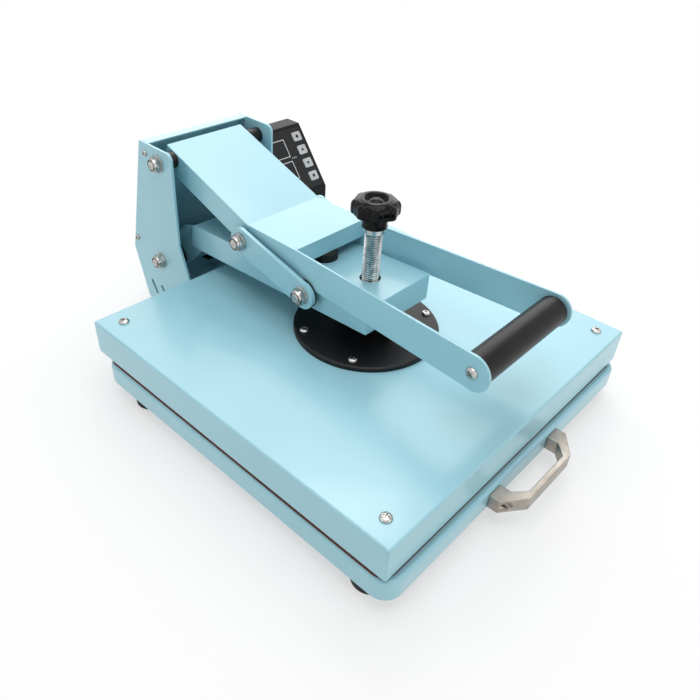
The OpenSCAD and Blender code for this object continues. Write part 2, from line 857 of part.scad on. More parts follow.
module push_button(i)
    color(white)
        on_slope()
            translate(button_at(i)) {
                translate([0, 0, -box_wall - seat])
                    linear_extrude(box_wall + seat + panel_t + button_rise)
                        round_rect(button_w, button_h, button_r - button_gap);
                translate([0, 0, -box_wall - seat - button_flange_t])
                    linear_extrude(button_flange_t)
                        round_rect(button_w + 2 * button_flange, button_h + 2 * button_flange, button_r);
                translate([0, 0, -box_wall - seat - button_flange_t - stem_l])
                    cylinder(r = stem_r, h = stem_l + button_flange_t, $fn = 32);
            }
module button_1() push_button(0);
module button_2() push_button(1);
module button_3() push_button(2);
module button_4() push_button(3);

module control_board()
    color(green)
        on_slope() {
            translate([board_margin, -slope_len + board_margin, -box_wall - board_depth - board_t])
                cube([box_w - 2 * board_margin, slope_len - 2 * board_margin, board_t]);
            for (i = [0:3])
                translate(button_at(i))
                    translate([-tact_w / 2, -tact_w / 2, -box_wall - board_depth - board_t / 2])
                        cube([tact_w, tact_w, board_depth + board_t / 2 - 2 * seat - button_flange_t - stem_l
                            - button_travel]);
            for (i = [0, 1])
                translate(window_at(i))
                    translate([-window_w / 2 - module_side, -window_h / 2 - module_side,
                        -box_wall - board_depth - board_t / 2])
                        cube([window_w + 2 * module_side, window_h + 2 * module_side,
                            board_depth + board_t / 2 - seat]);
            for (x = [board_margin + post_r, window_x + window_w + module_side + window_button_gap / 2],
                    y = [-slope_len + board_margin + post_r, -board_margin - post_r])
                translate([x, y, -box_wall - board_depth - board_t / 2])
                    cylinder(r = post_r, h = board_depth + board_t / 2, $fn = 32);
        }

contact_w = 2;
contact_l = 13;
contact_pitch = 7;
module power_inlet()
    color(black)
        at_port(-port_x)
            difference() {
                union() {
                    linear_extrude(port_rim) round_rect(port_w, port_h, port_rim);
                    translate([0, 0, -port_depth])
                        linear_extrude(port_depth + lap)
                            square([port_cut_w - 2 * slip, port_cut_h - 2 * slip], center = true);
                }
                difference() {
                    translate([0, 0, port_rim * 2 - port_depth])
                        linear_extrude(port_depth) round_rect(port_cut_w - 2 * port_rim, port_cut_h - 2 * port_rim, port_rim);
                    for (i = [-1:1])
                        translate([(1 - abs(i)) * port_rim - contact_w / 2, i * contact_pitch - contact_w, -port_depth])
                            cube([contact_w, 2 * contact_w, contact_l + port_rim]);
                }
            }

// The rocker turns on two pins across its frame
rocker_w = 14;
rocker_l = 21;
rocker_tilt = 10;
rocker_pin_r = 2;
rocker_pin_l = 2;
rocker_floor = 2;
rocker_crown = 2.4;
rocker_deep = 8;
module switch_frame()
    color(black)
        at_port(port_x)
            difference() {
                union() {
                    linear_extrude(port_rim) round_rect(port_w, port_h, port_rim);
                    translate([0, 0, -port_depth])
                        linear_extrude(port_depth + lap)
                            square([port_cut_w - 2 * slip, port_cut_h - 2 * slip], center = true);
                }
                translate([-rocker_w / 2 - seat, -rocker_l / 2 - 2 * seat, rocker_floor - port_depth])
                    cube([rocker_w + 2 * seat, rocker_l + 4 * seat, port_depth + over]);
                translate([-rocker_w / 2 - rocker_pin_l, 0, -rocker_floor])
                    rotate([0, 90, 0])
                        cylinder(r = rocker_pin_r + slip, h = rocker_w + 2 * rocker_pin_l, $fn = 32);
            }

module switch_rocker()
    color(black)
        at_port(port_x)
            translate([0, 0, -rocker_floor]) {
                rotate([-rocker_tilt, 0, 0])
                    along_x(-rocker_w / 2, rocker_w / 2)
                        intersection() {
                            polygon([[-rocker_l / 2, -rocker_deep], [rocker_l / 2, -rocker_deep],
                                [rocker_l / 2, rocker_floor + 2 * rocker_crown],
                                [0, rocker_floor + rocker_crown],
                                [-rocker_l / 2, rocker_floor + 2 * rocker_crown]]);
                            circle(rocker_l / 2, $fn = 96);
                        }
                translate([-rocker_w / 2 - rocker_pin_l + seat, 0, 0])
                    rotate([0, 90, 0])
                        cylinder(r = rocker_pin_r, h = rocker_w + 2 * rocker_pin_l - 2 * seat, $fn = 32);
            }

// Toggle arm

arm_z = cover_top + arm_gap;
function arm_low(y) = arm_z - y * tan(arm_slope);
function arm_high(y) = arm_low(y) + arm_h;
arm_w = lever_w - 2 * lever_t - 2 * arm_side_gap;
arm_half = arm_w / 2;
arm_rear_gap = 31;
arm_rear = p2[0] - arm_rear_gap;
arm_rear_r = 12;
arc_rear = [arm_rear - arm_rear_r, arm_high(arm_rear - arm_rear_r) - arm_rear_r];
neck_t = 5;
neck_out = arm_half - arm_t;
neck_start = 150;
neck_eye_r = 18;
neck_tube_r = 14;
neck_chin = 50;
neck_back = 15;
neck_back_rise = 43.5;
neck_low_a = 244;
neck_high_a = 40;
arm_b = [arm_pin_back, arm_z + arm_pin_rise];
guide_t = 5;
guide_rise = 4;
guide_len = 38;
guide_z = arm_z + guide_rise;
guide_pin_y = 30;
guide_pin_d = 10;
screw_hole = 22;
arm_side = concat([[-arm_nose, arm_low(-arm_nose)], [arm_rear, arm_low(arm_rear)]],
    arc(arc_rear, arm_rear_r, 0, 90 - arm_slope, 8), [[-arm_nose, arm_high(-arm_nose)]]);
arm_hollow = concat([[-arm_nose + arm_t, arm_low(-arm_nose) - arm_t], [arm_rear - arm_t, arm_low(arm_rear) - arm_t]],
    arc(arc_rear, arm_rear_r - arm_t, 0, 90 - arm_slope, 8),
    [[-arm_nose + arm_t, arm_high(-arm_nose + arm_t) - arm_t]]);
neck_in_arm = [[neck_start, arm_low(neck_start) + arm_t], [arc_rear[0], arm_low(arc_rear[0]) + arm_t],
    [arc_rear[0], arm_high(arc_rear[0]) - arm_t], [neck_start, arm_high(neck_start) - arm_t]];
neck_side = [neck_in_arm[0], [p2[0] - neck_chin, arm_low(p2[0] - neck_chin) + arm_t / 3],
    p2 + neck_eye_r * [cos(neck_low_a), sin(neck_low_a)], p2 + neck_eye_r * [cos(neck_high_a), sin(neck_high_a)],
    p2 + [-neck_back, neck_back_rise], neck_in_arm[2], neck_in_arm[3]];

module toggle_arm()
    color(blue)
        difference() {
            union() {
                difference() {
                    along_x(-arm_half, arm_half) polygon(arm_side);
                    along_x(-neck_out, neck_out) polygon(arm_hollow);
                    translate([0, 0, arm_z]) cylinder(d = screw_hole, h = 2 * arm_h, $fn = 64);
                }
                both_sides() {
                    along_x(neck_out - neck_t, neck_out + lap) polygon(neck_in_arm);
                    along_x(neck_out - neck_t, neck_out) {
                        polygon(neck_side);
                        translate(p2) circle(neck_eye_r, $fn = 96);
                    }
                }
                rod_x(p2, neck_tube_r, -neck_out, neck_out);
                translate([-neck_out - lap, -arm_nose + arm_t - lap, guide_z])
                    cube([2 * (neck_out + lap), arm_nose - arm_t + lap + guide_len, guide_t]);
            }
            rod_x(p2, shaft2_d / 2 + slip, -arm_w, arm_w);
            translate([0, 0, guide_z - over]) cylinder(d = screw_d + 2 * seat, h = guide_t + 2 * over, $fn = 64);
            for (s = [-1, 1])
                translate([0, s * guide_pin_y, guide_z - over])
                    cylinder(d = guide_pin_d + 2 * slip, h = guide_t + 2 * over, $fn = 48);
        }

nut_block_d = 34;
nut_block_gap = 1.2;
screw_nut_top = arm_high(nut_block_d / 2) - arm_t / cos(arm_slope) - nut_block_gap;
module screw_nut()
    color(steel)
        difference() {
            translate([0, 0, guide_z + guide_t]) cylinder(d = nut_block_d, h = screw_nut_top - guide_z - guide_t, $fn = 64);
            translate([0, 0, guide_z]) cylinder(d = screw_d + 2 * slip, h = arm_h + guide_t, $fn = 64);
        }

// Platen

cover_bend_r = 2.5;
corner_at = cover_side / 2 - corner_screw_inset;
flange_screw_at = flange_d / 2 - flange_screw_inset;
corners = [for (x = [-1, 1], y = [-1, 1]) [x * corner_at, y * corner_at]];
ring = [for (i = [0:5]) flange_screw_at * [cos(30 + 60 * i), sin(30 + 60 * i)]];
under_cover = cover_top - cover_t;
spacer_r = 6;
platen_corner_r = 6;
platen_screw_bite = 7;

module platen_cover()
    color(blue)
        difference() {
            translate([0, 0, cover_z]) linear_extrude(cover_h) round_rect(cover_side, cover_side, cover_bend_r);
            translate([0, 0, cover_z - over])
                linear_extrude(cover_h - cover_t + over)
                    round_rect(cover_side - 2 * cover_t, cover_side - 2 * cover_t, cover_bend_r - cover_t / 2);
            for (p = concat(corners, ring))
                translate([p[0], p[1], cover_z]) cylinder(r = platen_screw_r + slip, h = cover_h + over, $fn = 32);
        }

// Heating element: four runs joined by half turns, half sunk into the platen
element_r = 4;
element_span_share = 0.342;
element_gap = 3.9;
element_z = platen_top + element_r / 4;
element_half = platen_side * element_span_share;
// The runs pass inside the flange's screws, at a pitch rounded down to a whole step
element_step = 0.1;
element_pitch = element_step * floor(2 * (flange_screw_at * cos(30) - spacer_r - element_r - element_gap) / element_step);
element_tail = 30;
element_turn_r = element_pitch / 2;

module element_path(r) {
    translate([0, 0, element_z]) {
        for (i = [-1.5:1:1.5])
            translate([i * element_pitch, -element_half, 0])
                rotate([-90, 0, 0])
                    cylinder(r = r, h = 2 * element_half + (abs(i) > 1 ? element_tail : 0), $fn = 32);
        for (i = [-1:1])
            translate([i * element_pitch, i == 0 ? element_half : -element_half, 0])
                rotate(i == 0 ? 0 : 180)
                    rotate_extrude(angle = 180, $fn = 64) translate([element_turn_r, 0]) circle(r, $fn = 32);
    }
}

module heating_element() color(grey) element_path(element_r);

module heat_platen()
    color(cast)
        difference() {
            translate([0, 0, platen_z]) linear_extrude(platen_t) round_rect(platen_side, platen_side, platen_corner_r);
            element_path(element_r + 2 * slip);
            for (p = concat(corners, ring))
                translate([p[0], p[1], platen_top - platen_screw_bite])
                    cylinder(r = platen_screw_r + slip, h = platen_screw_bite + over, $fn = 32);
        }

mat_inset = 20;
mat_hole_gap = 1;
mat_z = element_z + element_r + seat;
module insulation_mat()
    color(white)
        difference() {
            translate([0, 0, mat_z])
                linear_extrude(under_cover - seat - mat_z)
                    round_rect(platen_side - 2 * mat_inset, platen_side - 2 * mat_inset, platen_corner_r);
            for (p = concat(corners, ring))
                translate([p[0], p[1], mat_z - over]) cylinder(r = spacer_r + mat_hole_gap, h = cover_h, $fn = 32);
        }

module platen_spacers()
    color(steel)
        for (p = concat(corners, ring))
            translate([p[0], p[1], platen_top])
                difference() {
                    cylinder(r = spacer_r, h = under_cover - platen_top, $fn = 32);
                    translate([0, 0, -over])
                        cylinder(r = platen_screw_r + slip, h = under_cover - platen_top + 2 * over, $fn = 32);
                }

module corner_screws()
    color(steel)
        for (p = corners)
            translate([p[0], p[1], cover_top])
                pan_screw(corner_head_r, platen_head_h, platen_screw_r, cover_top - platen_top + platen_screw_bite - over);

module flange_screws()
    color(steel)
        for (p = ring)
            translate([p[0], p[1], flange_top])
                pan_screw(flange_head_r, platen_head_h, platen_screw_r, flange_top - platen_top + platen_screw_bite - over);

module round_flange()
    color(black)
        difference() {
            translate([0, 0, cover_top])
                rotate_extrude($fn = 128)
                    polygon([[0, 0], [flange_d / 2, 0], [flange_d / 2, flange_t - flange_bevel],
                        [flange_d / 2 - flange_bevel, flange_t], [0, flange_t]]);
            for (p = ring)
                translate([p[0], p[1], cover_top - over])
                    cylinder(r = platen_screw_r + slip, h = flange_t + 2 * over, $fn = 32);
        }

neck_d = 11;
collar_d = 18;
collar_h = 8.4;
swivel_bore_gap = 0.1;
swivel_roof = swivel_h - collar_h - 2 * seat;
cavity_gap = 1;
swivel_bevel = 2;
module swivel_housing()
    color(black)
        translate([0, 0, flange_top])
            rotate_extrude($fn = 64)
                polygon([[collar_d / 2 + cavity_gap, 0], [swivel_d / 2, 0], [swivel_d / 2, swivel_h - swivel_bevel],
                    [swivel_d / 2 - swivel_bevel, swivel_h], [neck_d / 2 + swivel_bore_gap, swivel_h],
                    [neck_d / 2 + swivel_bore_gap, swivel_h - swivel_roof],
                    [collar_d / 2 + cavity_gap, swivel_h - swivel_roof]]);

guide_pin_over = 7;
module guide_pins()
    color(black)
        for (s = [-1, 1])
            translate([0, s * guide_pin_y, flange_top])
                cylinder(d = guide_pin_d, h = guide_z + guide_t + guide_pin_over - flange_top, $fn = 48);

// Screw and knob

screw_collar_d = 21;
screw_collar_h = 5.5;
spigot_d = 12;
spigot_h = 22;
screw_z1 = arm_high(0) + screw_show;
knob_z = screw_z1 + screw_collar_h;

module pressure_screw()
    color(steel)
        rotate_extrude($fn = 64)
            polygon([[0, flange_top + seat], [neck_d / 2, flange_top + seat], [neck_d / 2, swivel_top + seat],
                [screw_d / 2, swivel_top + seat], [screw_d / 2, screw_z1], [screw_collar_d / 2, screw_z1],
                [screw_collar_d / 2, knob_z], [spigot_d / 2, knob_z], [spigot_d / 2, knob_z + spigot_h],
                [0, knob_z + spigot_h]]);

module thrust_collar()
    color(steel)
        translate([0, 0, flange_top + seat])
            rotate_extrude($fn = 64)
                polygon([[neck_d / 2 + slip, 0], [collar_d / 2, 0], [collar_d / 2, collar_h],
                    [neck_d / 2 + slip, collar_h]]);

lobe_r = 7.4;
knob_core_r = 21;
hub_r = 12.8;
hub_waist_r = 12.4;
knob_edge = 4;
knob_crown = 3;
knob_ring_r = 13;
knob_ring_w = 1;
knob_dimple_r = 3;
knob_dimple_h = 1.2;
module star_knob()
    color(black)
        translate([0, 0, knob_z])
            difference() {
                union() {
                    rotate_extrude($fn = 64)
                        polygon([[0, 0], [hub_r, 0], [hub_waist_r, knob_hub_h / 2], [hub_r, knob_hub_h + over],
                            [0, knob_hub_h + over]]);
                    translate([0, 0, knob_hub_h])
                        intersection() {
                            linear_extrude(knob_head_h) {
                                circle(knob_core_r, $fn = 96);
                                for (i = [0:knob_lobes - 1])
                                    rotate(i * 360 / knob_lobes)
                                        translate([knob_d / 2 - lobe_r, 0]) circle(lobe_r, $fn = 48);
                            }
                            rotate_extrude($fn = 96)
                                polygon([[0, 0], [knob_d / 2 - knob_edge / 2, 0], [knob_d / 2, knob_edge / 2],
                                    [knob_d / 2, knob_head_h - knob_edge - knob_crown],
                                    [knob_d / 2 - knob_edge / 3, knob_head_h - knob_crown - knob_edge / 3],
                                    [knob_d / 2 - knob_edge, knob_head_h - knob_crown],
                                    [knob_core_r - knob_edge, knob_head_h], [0, knob_head_h]]);
                        }
                }
                translate([0, 0, -over]) cylinder(d = spigot_d + 2 * slip, h = spigot_h + seat + over, $fn = 64);
                translate([0, 0, knob_hub_h + knob_head_h])
                    rotate_extrude($fn = 64)
                        translate([knob_ring_r, 0]) circle(knob_ring_w, $fn = 24);
                translate([0, 0, knob_hub_h + knob_head_h - knob_dimple_h])
                    cylinder(r = knob_dimple_r, h = knob_dimple_h + over, $fn = 48);
            }

// Lever

lever_out = lever_w / 2;
lever_in = lever_out - lever_t;
// Along the upper panel from p1, forwards and down, and square to it, upwards
panel_way = [-cos(panel_slope), -sin(panel_slope)];
panel_up = [-sin(panel_slope), cos(panel_slope)];
function on_panel(a, b) = p1 + a * panel_way + b * panel_up;
crease = on_panel(panel_len, panel_over);
panel_end = on_panel(-panel_tail, panel_over);
flange_low = panel_over - flange_depth;
tail_cut = 5.5;
knee_in = 21.5;
knee_y = 3;
deck_y0 = crease[0] - deck_len;
deck_z = crease[1];
side_bend_y = deck_y0 - lever_t;
side_arm_low = deck_z - side_arm_h;
grip_drop = 13.5;
side_end_r = 17.5;
grip_y = crease[0] - side_arm_reach;
grip_z = deck_z - grip_drop;
spread_a = atan2(side_arm_spread, side_bend_y - grip_y);
side_plate_l = norm([side_arm_spread, side_bend_y - grip_y]);
side_mid = lever_out - lever_t / 2;
lever_a = [lever_pin_back, p1[1] - lever_pin_drop];
lever_side = [panel_end, crease, [side_bend_y, deck_z], [side_bend_y, side_arm_low],
    [crease[0] - knee_y, side_arm_low], on_panel(panel_len - knee_in, flange_low),
    on_panel(tail_cut - panel_tail, flange_low), on_panel(-panel_tail, flange_low + tail_cut)];

module hand_lever()
    color(blue)
        difference() {
            union() {
                both_sides() {
                    along_x(lever_in, lever_out) polygon(lever_side);
                    translate([side_mid, side_bend_y, 0]) {
                        translate([0, 0, side_arm_low]) cylinder(r = lever_t / 2, h = side_arm_h, $fn = 32);
                        rotate(spread_a)
                            rotate([90, 0, -90])
                                linear_extrude(lever_t, center = true) {
                                    polygon([[0, side_arm_low], [side_plate_l, grip_z - side_end_r],
                                        [side_plate_l, grip_z + side_end_r], [0, deck_z]]);
                                    translate([side_plate_l, grip_z]) circle(side_end_r, $fn = 96);
                                }
                    }
                }
                along_x(-lever_in - lap, lever_in + lap)
                    polygon(bent([panel_end, crease, [side_bend_y, deck_z], [side_bend_y, deck_z - deck_lip]], lever_t));
            }
            rod_x(p1, shaft1_d / 2 + slip, -lever_w, lever_w);
            rod_x(lever_a, stud_d / 2 + slip, -lever_w, lever_w);
            rod_x([grip_y, grip_z], grip_hole_r, -lever_w, lever_w);
        }

grip_screw_r = 3;
grip_hole_r = 3.6;
grip_bore_r = 4;
grip_head_r = 5.7;
grip_head_h = 3;
grip_screw_l = 11;
grip_core_d = 20;
grip_face = side_mid + side_arm_spread - lever_t / 2 / cos(spread_a);
grip_outer_face = side_mid + side_arm_spread + lever_t / 2 / cos(spread_a);
grip_half = grip_face - grip_d / 2 * tan(spread_a) - seat;
core_half = grip_face - grip_core_d / 2 * tan(spread_a) - slip;

module grip_sleeve()
    color(black)
        difference() {
            rod_x([grip_y, grip_z], grip_d / 2, -grip_half, grip_half);
            rod_x([grip_y, grip_z], grip_core_d / 2 + slip, -grip_half - over, grip_half + over);
        }

module grip_core()
    color(steel)
        difference() {
            rod_x([grip_y, grip_z], grip_core_d / 2, -core_half, core_half);
            both_sides() rod_x([grip_y, grip_z], grip_bore_r, core_half - grip_screw_l, core_half + over);
        }

module grip_screws()
    color(steel)
        both_sides()
            translate([grip_outer_face, grip_y, grip_z])
                rotate([0, 90, spread_a])
                    translate([0, 0, slip]) pan_screw(grip_head_r, grip_head_h, grip_screw_r, grip_screw_l);

// Rubber stop on the arm, under the flange along the level panel's front edge
bumper_r = 14;
bumper_in = 6.5;
bumper_edge = 3;
bumper_y = deck_y0 + bumper_in;
bumper_h = deck_z - deck_lip - seat - arm_high(bumper_y - bumper_r);
module stop_bumper()
    color(black)
        translate([0, bumper_y, arm_high(bumper_y)])
            rotate([-arm_slope, 0, 0]) rotate_extrude($fn = 64) post_half(bumper_r, bumper_h, bumper_edge);

// Links

link_gap = 4;
link_x = lever_out + link_gap;
lever_washer_r = 9;
arm_washer_r = 15.5;
arm_washer_t = 1.4;
shoulder_r = 6;
pin_head_r = 8;
pin_head_h = 5;
link_a = atan2(lever_a[1] - arm_b[1], lever_a[0] - arm_b[0]);

module link_bars()
    color(blue)
        both_sides()
            along_x(link_x, link_x + link_t)
                difference() {
                    polygon(concat(arc(lever_a, link_w / 2, link_a - 90, link_a + 90, 48),
                        arc(arm_b, link_w / 2, link_a + 90, link_a + 270, 48)));
                    for (p = [lever_a, arm_b]) translate(p) circle(stud_d / 2 + slip, $fn = 64);
                }

module link_washer(p, r, x0)
    difference() {
        rod_x(p, r, x0, link_x);
        rod_x(p, stud_d / 2 + slip, x0 - over, link_x + over);
    }

module link_washers()
    color(black)
        both_sides() {
            link_washer(lever_a, lever_washer_r, lever_out + seat);
            link_washer(arm_b, arm_washer_r, link_x - arm_washer_t);
        }

module lever_pin_bolts()
    color(steel)
        both_sides() {
            rod_x(lever_a, pin_head_r, lever_in - pin_head_h, lever_in);
            rod_x(lever_a, stud_d / 2, lever_in - over, link_x + link_t + seat + nut_h + stud_show);
        }

module lever_pin_nuts()
    color(steel)
        both_sides() translate([link_x + link_t + seat, lever_a[0], lever_a[1]]) collar_nut();

module arm_pin_bolts()
    color(steel)
        both_sides() {
            rod_x(arm_b, shoulder_r, arm_half + seat, link_x - arm_washer_t);
            rod_x(arm_b, stud_d / 2, arm_half + seat, link_x + link_t + nut_h + stud_show);
        }

module arm_pin_nuts()
    color(steel)
        both_sides() translate([link_x + link_t, arm_b[0], arm_b[1]]) collar_nut();

// Y from the middle of the press, which lies between the pull handle's bar and the
// column's knee, and not from the pressure screw's axis
middle_y = (tray_y0 - handle_out + p2[0] + plate_knee_back) / 2;
module placed() translate([0, -middle_y, 0]) children();

placed() base_plate();
placed() rubber_feet();
placed() column_plate_left();
placed() column_plate_right();
placed() column_back_sheet();
placed() column_front_sheet();
placed() case_screws();
placed() upper_pivot_shaft();
placed() lower_pivot_shaft();
placed() pivot_nuts();
placed() upper_pivot_bushes();
placed() lower_pivot_bushes();
placed() slide_outers();
placed() glide_strips();
placed() control_box();
placed() box_back();
placed() control_panel();
placed() display_window();
placed() control_board();
placed() power_inlet();
placed() switch_frame();
placed() switch_rocker();
placed() button_1();
placed() button_2();
placed() button_3();
placed() button_4();
placed() drawer_tray();
placed() tray_ribs();
placed() silicone_pad();
placed() pull_handle();
placed() handle_screws();
placed() slide_inners();
placed() ball_cages();
placed() bearing_balls();
placed() toggle_arm();
placed() screw_nut();
placed() platen_cover();
placed() heat_platen();
placed() heating_element();
placed() insulation_mat();
placed() platen_spacers();
placed() corner_screws();
placed() round_flange();
placed() flange_screws();
placed() swivel_housing();
placed() guide_pins();
placed() star_knob();
placed() pressure_screw();
placed() thrust_collar();
placed() hand_lever();
placed() stop_bumper();
placed() grip_core();
placed() grip_sleeve();
placed() grip_screws();
placed() lever_pin_bolts();
placed() lever_pin_nuts();
placed() link_bars();
placed() link_washers();
placed() arm_pin_bolts();
placed() arm_pin_nuts();
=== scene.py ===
"""Slide-out heat press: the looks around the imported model."""
import bpy
import json
from math import cos, pi, radians, sin
from mathutils import Matrix, Vector


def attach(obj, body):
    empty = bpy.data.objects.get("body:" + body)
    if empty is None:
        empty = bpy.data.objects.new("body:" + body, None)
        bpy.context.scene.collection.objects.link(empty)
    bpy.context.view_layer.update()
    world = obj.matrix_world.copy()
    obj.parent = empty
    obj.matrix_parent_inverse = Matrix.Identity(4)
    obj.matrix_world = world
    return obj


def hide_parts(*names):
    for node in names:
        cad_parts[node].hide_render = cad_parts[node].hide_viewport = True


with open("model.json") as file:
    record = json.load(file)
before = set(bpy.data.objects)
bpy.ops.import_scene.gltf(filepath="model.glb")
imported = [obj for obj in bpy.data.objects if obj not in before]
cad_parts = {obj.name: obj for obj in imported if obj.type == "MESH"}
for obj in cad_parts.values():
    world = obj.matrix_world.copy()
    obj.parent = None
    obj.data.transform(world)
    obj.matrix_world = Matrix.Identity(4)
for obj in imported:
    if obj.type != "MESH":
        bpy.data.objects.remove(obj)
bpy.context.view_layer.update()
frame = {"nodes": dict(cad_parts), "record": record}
mm = 0.001
nodes = frame["nodes"]
body_of = {n: b for b, ns in frame["record"]["behaviour"]["bodies"].items() for n in ns}


# Sizes and places: millimetres from the bench and the pressure screw's axis

# The screw's axis stands here in the frame, in metres. hand_in moves the modelled pieces there.
screw_y = sum(corner[1] for corner in nodes["pressure_screw"].bound_box) / 8

# Platen cover and round flange
cover_half, cover_low, cover_top = 200, 45, 82
cover_sheet, cover_bend = 1.8, 2.2
corner_screw_at = 178
flange_top, flange_screw_circle, flange_screw_count = 88, 68, 6

# Pivots and linkage pins, as (y, z)
upper_pivot, lower_pivot = (247, 203.5), (265, 76.5)
lever_pin, arm_pin = (128, 153.5), (37, 130.5)
pin_r = 5
nut_af, nut_height, nut_slip = 16, 9, 0.05
# From the centre plane out to where the nuts sit and where the threaded shanks end
lever_pin_seat, arm_pin_seat = 60.8, 60.5
shaft_end, lever_pin_end, arm_pin_end = 81.8, 70.6, 70.3

# Column and control box
column_out, column_in, box_side = 72, 69, 160
column_screws = ((270.3, 208.2), (310.8, 89.2))
box_screws = ((268, 178), (280, 105), (236, 105))
box_side_screw = (255.15, 156.75)

# Lever's grip: its axis as (y, z), and how far the side arms splay
grip_at = (-167.93, 157.04)
grip_r, grip_half, grip_bore_r, grip_bore_half = 15, 64.1, 10.05, 66
grip_edge_along, grip_edge_in = 0.7, 0.8
grip_screw_x, side_arm_splay = 68.06, 4.11

# Sloping front of the control box: its top left corner and its slope in degrees
slope_top, slope_angle = (72, 270.5, 192), 52.81


# Camera and studio

# Solved from the corners of the cover in the photograph
camera_place = (-0.4561, -0.3663 + screw_y, 0.4984)
camera_look = Vector((0.61516, 0.51109, -0.60031))
camera_right = Vector((0.67093, -0.73924, 0.05816))
sensor_mm, lens_mm, shift_right, shift_up = 36, 34.709, -0.00817, -0.01030

camera = bpy.data.objects.new("camera", bpy.data.cameras.new("camera"))
bpy.context.scene.collection.objects.link(camera)
bpy.context.scene.camera = camera
camera.data.sensor_width = sensor_mm
camera.data.lens = lens_mm
camera.data.shift_x = shift_right
camera.data.shift_y = shift_up
camera_axes = Matrix((camera_right, camera_right.cross(camera_look), -camera_look)).transposed()
camera.matrix_world = Matrix.Translation(camera_place) @ camera_axes.to_4x4()
bpy.context.scene.view_settings.view_transform = "Standard"


def srgb(hex_colour):
    """The linear colour of an sRGB hex value."""
    parts = [int(hex_colour[i:i + 2], 16) / 255 for i in (1, 3, 5)]
    return [c / 12.92 if c <= 0.04045 else ((c + 0.055) / 1.055) ** 2.4 for c in parts] + [1]


def add(material, kind, settings=None, **inputs):
    """Adds a node with its settings and links.

    An input is a value or another node's socket. Its name has _ for a space, and _0 is socket 0.
    """
    n = material.node_tree.nodes.new(kind)
    for key, value in (settings or {}).items():
        setattr(n, key, value)
    for key, value in inputs.items():
        number = key[1:]
        socket = n.inputs[int(number)] if number.isdigit() else n.inputs[key.replace("_", " ")]
        if isinstance(value, bpy.types.NodeSocket):
            material.node_tree.links.new(value, socket)
        else:
            socket.default_value = value
    return n


def new_material(name):
    m = bpy.data.materials.new(name)
    m.use_nodes = True
    m.node_tree.nodes.clear()
    return m


def area_light(name, place, target, size, power):
    """A soft box at place that faces target. Metres and watts."""
    lamp = bpy.data.lights.new(name, "AREA")
    lamp.shape = "RECTANGLE"
    lamp.size, lamp.size_y = size
    lamp.energy = power
    holder = bpy.data.objects.new(name, lamp)
    bpy.context.scene.collection.objects.link(holder)
    holder.location = place
    holder.rotation_euler = (Vector(target) - Vector(place)).to_track_quat("-Z", "Y").to_euler()


area_light("overhead_box", place=(-0.1, -0.15, 1.9), target=(0, 0, 0), size=(1.6, 1.6), power=16)
area_light("back_box", place=(1.35, 1.1, 1.35), target=(0, 0, 0.08), size=(2.4, 1.7), power=22)
area_light("left_box", place=(-1.6, 0.4, 0.8), target=(0, 0.05, 0.1), size=(1.2, 0.9), power=2.8)
area_light("front_box", place=(0.2, -1.7, 0.7), target=(0, 0, 0.05), size=(1.4, 0.8), power=4)
# A narrow lamp that puts small bright highlights on the knob and the nuts
area_light("high_strip", place=(0.9, 0.75, 1.9), target=(0, 0, 0.15), size=(0.55, 0.22), power=3.5)


def background_rays(material):
    """1 for the rays that show the background: seen straight, mirrored or through glass."""
    paths = add(material, "ShaderNodeLightPath")
    shown = add(material, "ShaderNodeMath", {"operation": "MAXIMUM"},
        _0=paths.outputs["Is Camera Ray"], _1=paths.outputs["Is Glossy Ray"])
    return add(material, "ShaderNodeMath", {"operation": "MAXIMUM"},
        _0=shown.outputs[0], _1=paths.outputs["Is Transmission Ray"]).outputs[0]


# The world is white to see, and a weaker fill light on the press.
world_fill, world_seen = 0.42, 1.0
studio = bpy.data.worlds.new("studio")
bpy.context.scene.world = studio
studio.use_nodes = True
studio.node_tree.nodes.clear()
strength = add(studio, "ShaderNodeMapRange", None, Value=background_rays(studio),
    To_Min=world_fill, To_Max=world_seen)
backdrop = add(studio, "ShaderNodeBackground", None,
    Color=srgb("#ffffff"), Strength=strength.outputs[0])
add(studio, "ShaderNodeOutputWorld", None, Surface=backdrop.outputs[0])


# Materials

def object_noise(m, period_mm, detail=2.0, roughness=0.5, stretch=(1, 1, 1)):
    """Noise on Object coordinates with one cell in every period_mm."""
    place = add(m, "ShaderNodeTexCoord").outputs["Object"]
    scaled = add(m, "ShaderNodeMapping", None, Vector=place, Scale=stretch)
    return add(m, "ShaderNodeTexNoise", None, Vector=scaled.outputs[0], Scale=1 / (period_mm * mm),
        Detail=detail, Roughness=roughness)


def tinted(m, noise, dark, light, low=0.35, high=0.65):
    """A colour that wanders between two close tones."""
    ramp = add(m, "ShaderNodeValToRGB", None, Fac=noise.outputs[0])
    for stop, position, colour in zip(ramp.color_ramp.elements, (low, high), (dark, light)):
        stop.position, stop.color = position, srgb(colour)
    return ramp.outputs[0]


def uneven(m, noise, low, high):
    """A roughness that wanders between two values."""
    return add(m, "ShaderNodeMapRange", None, Value=noise.outputs[0], From_Min=0.3, From_Max=0.7,
        To_Min=low, To_Max=high).outputs[0]


def relief(m, pattern, depth_mm):
    """A bump of the pattern's height."""
    return add(m, "ShaderNodeBump", None, Height=pattern.outputs[0], Distance=depth_mm * mm,
        Strength=1.0).outputs[0]


def finish(m, **inputs):
    """The shader and the output. Dark finishes ask for less shine, as their grain traps it."""
    shader = add(m, "ShaderNodeBsdfPrincipled", None, **inputs)
    add(m, "ShaderNodeOutputMaterial", None, Surface=shader.outputs[0])
    return m


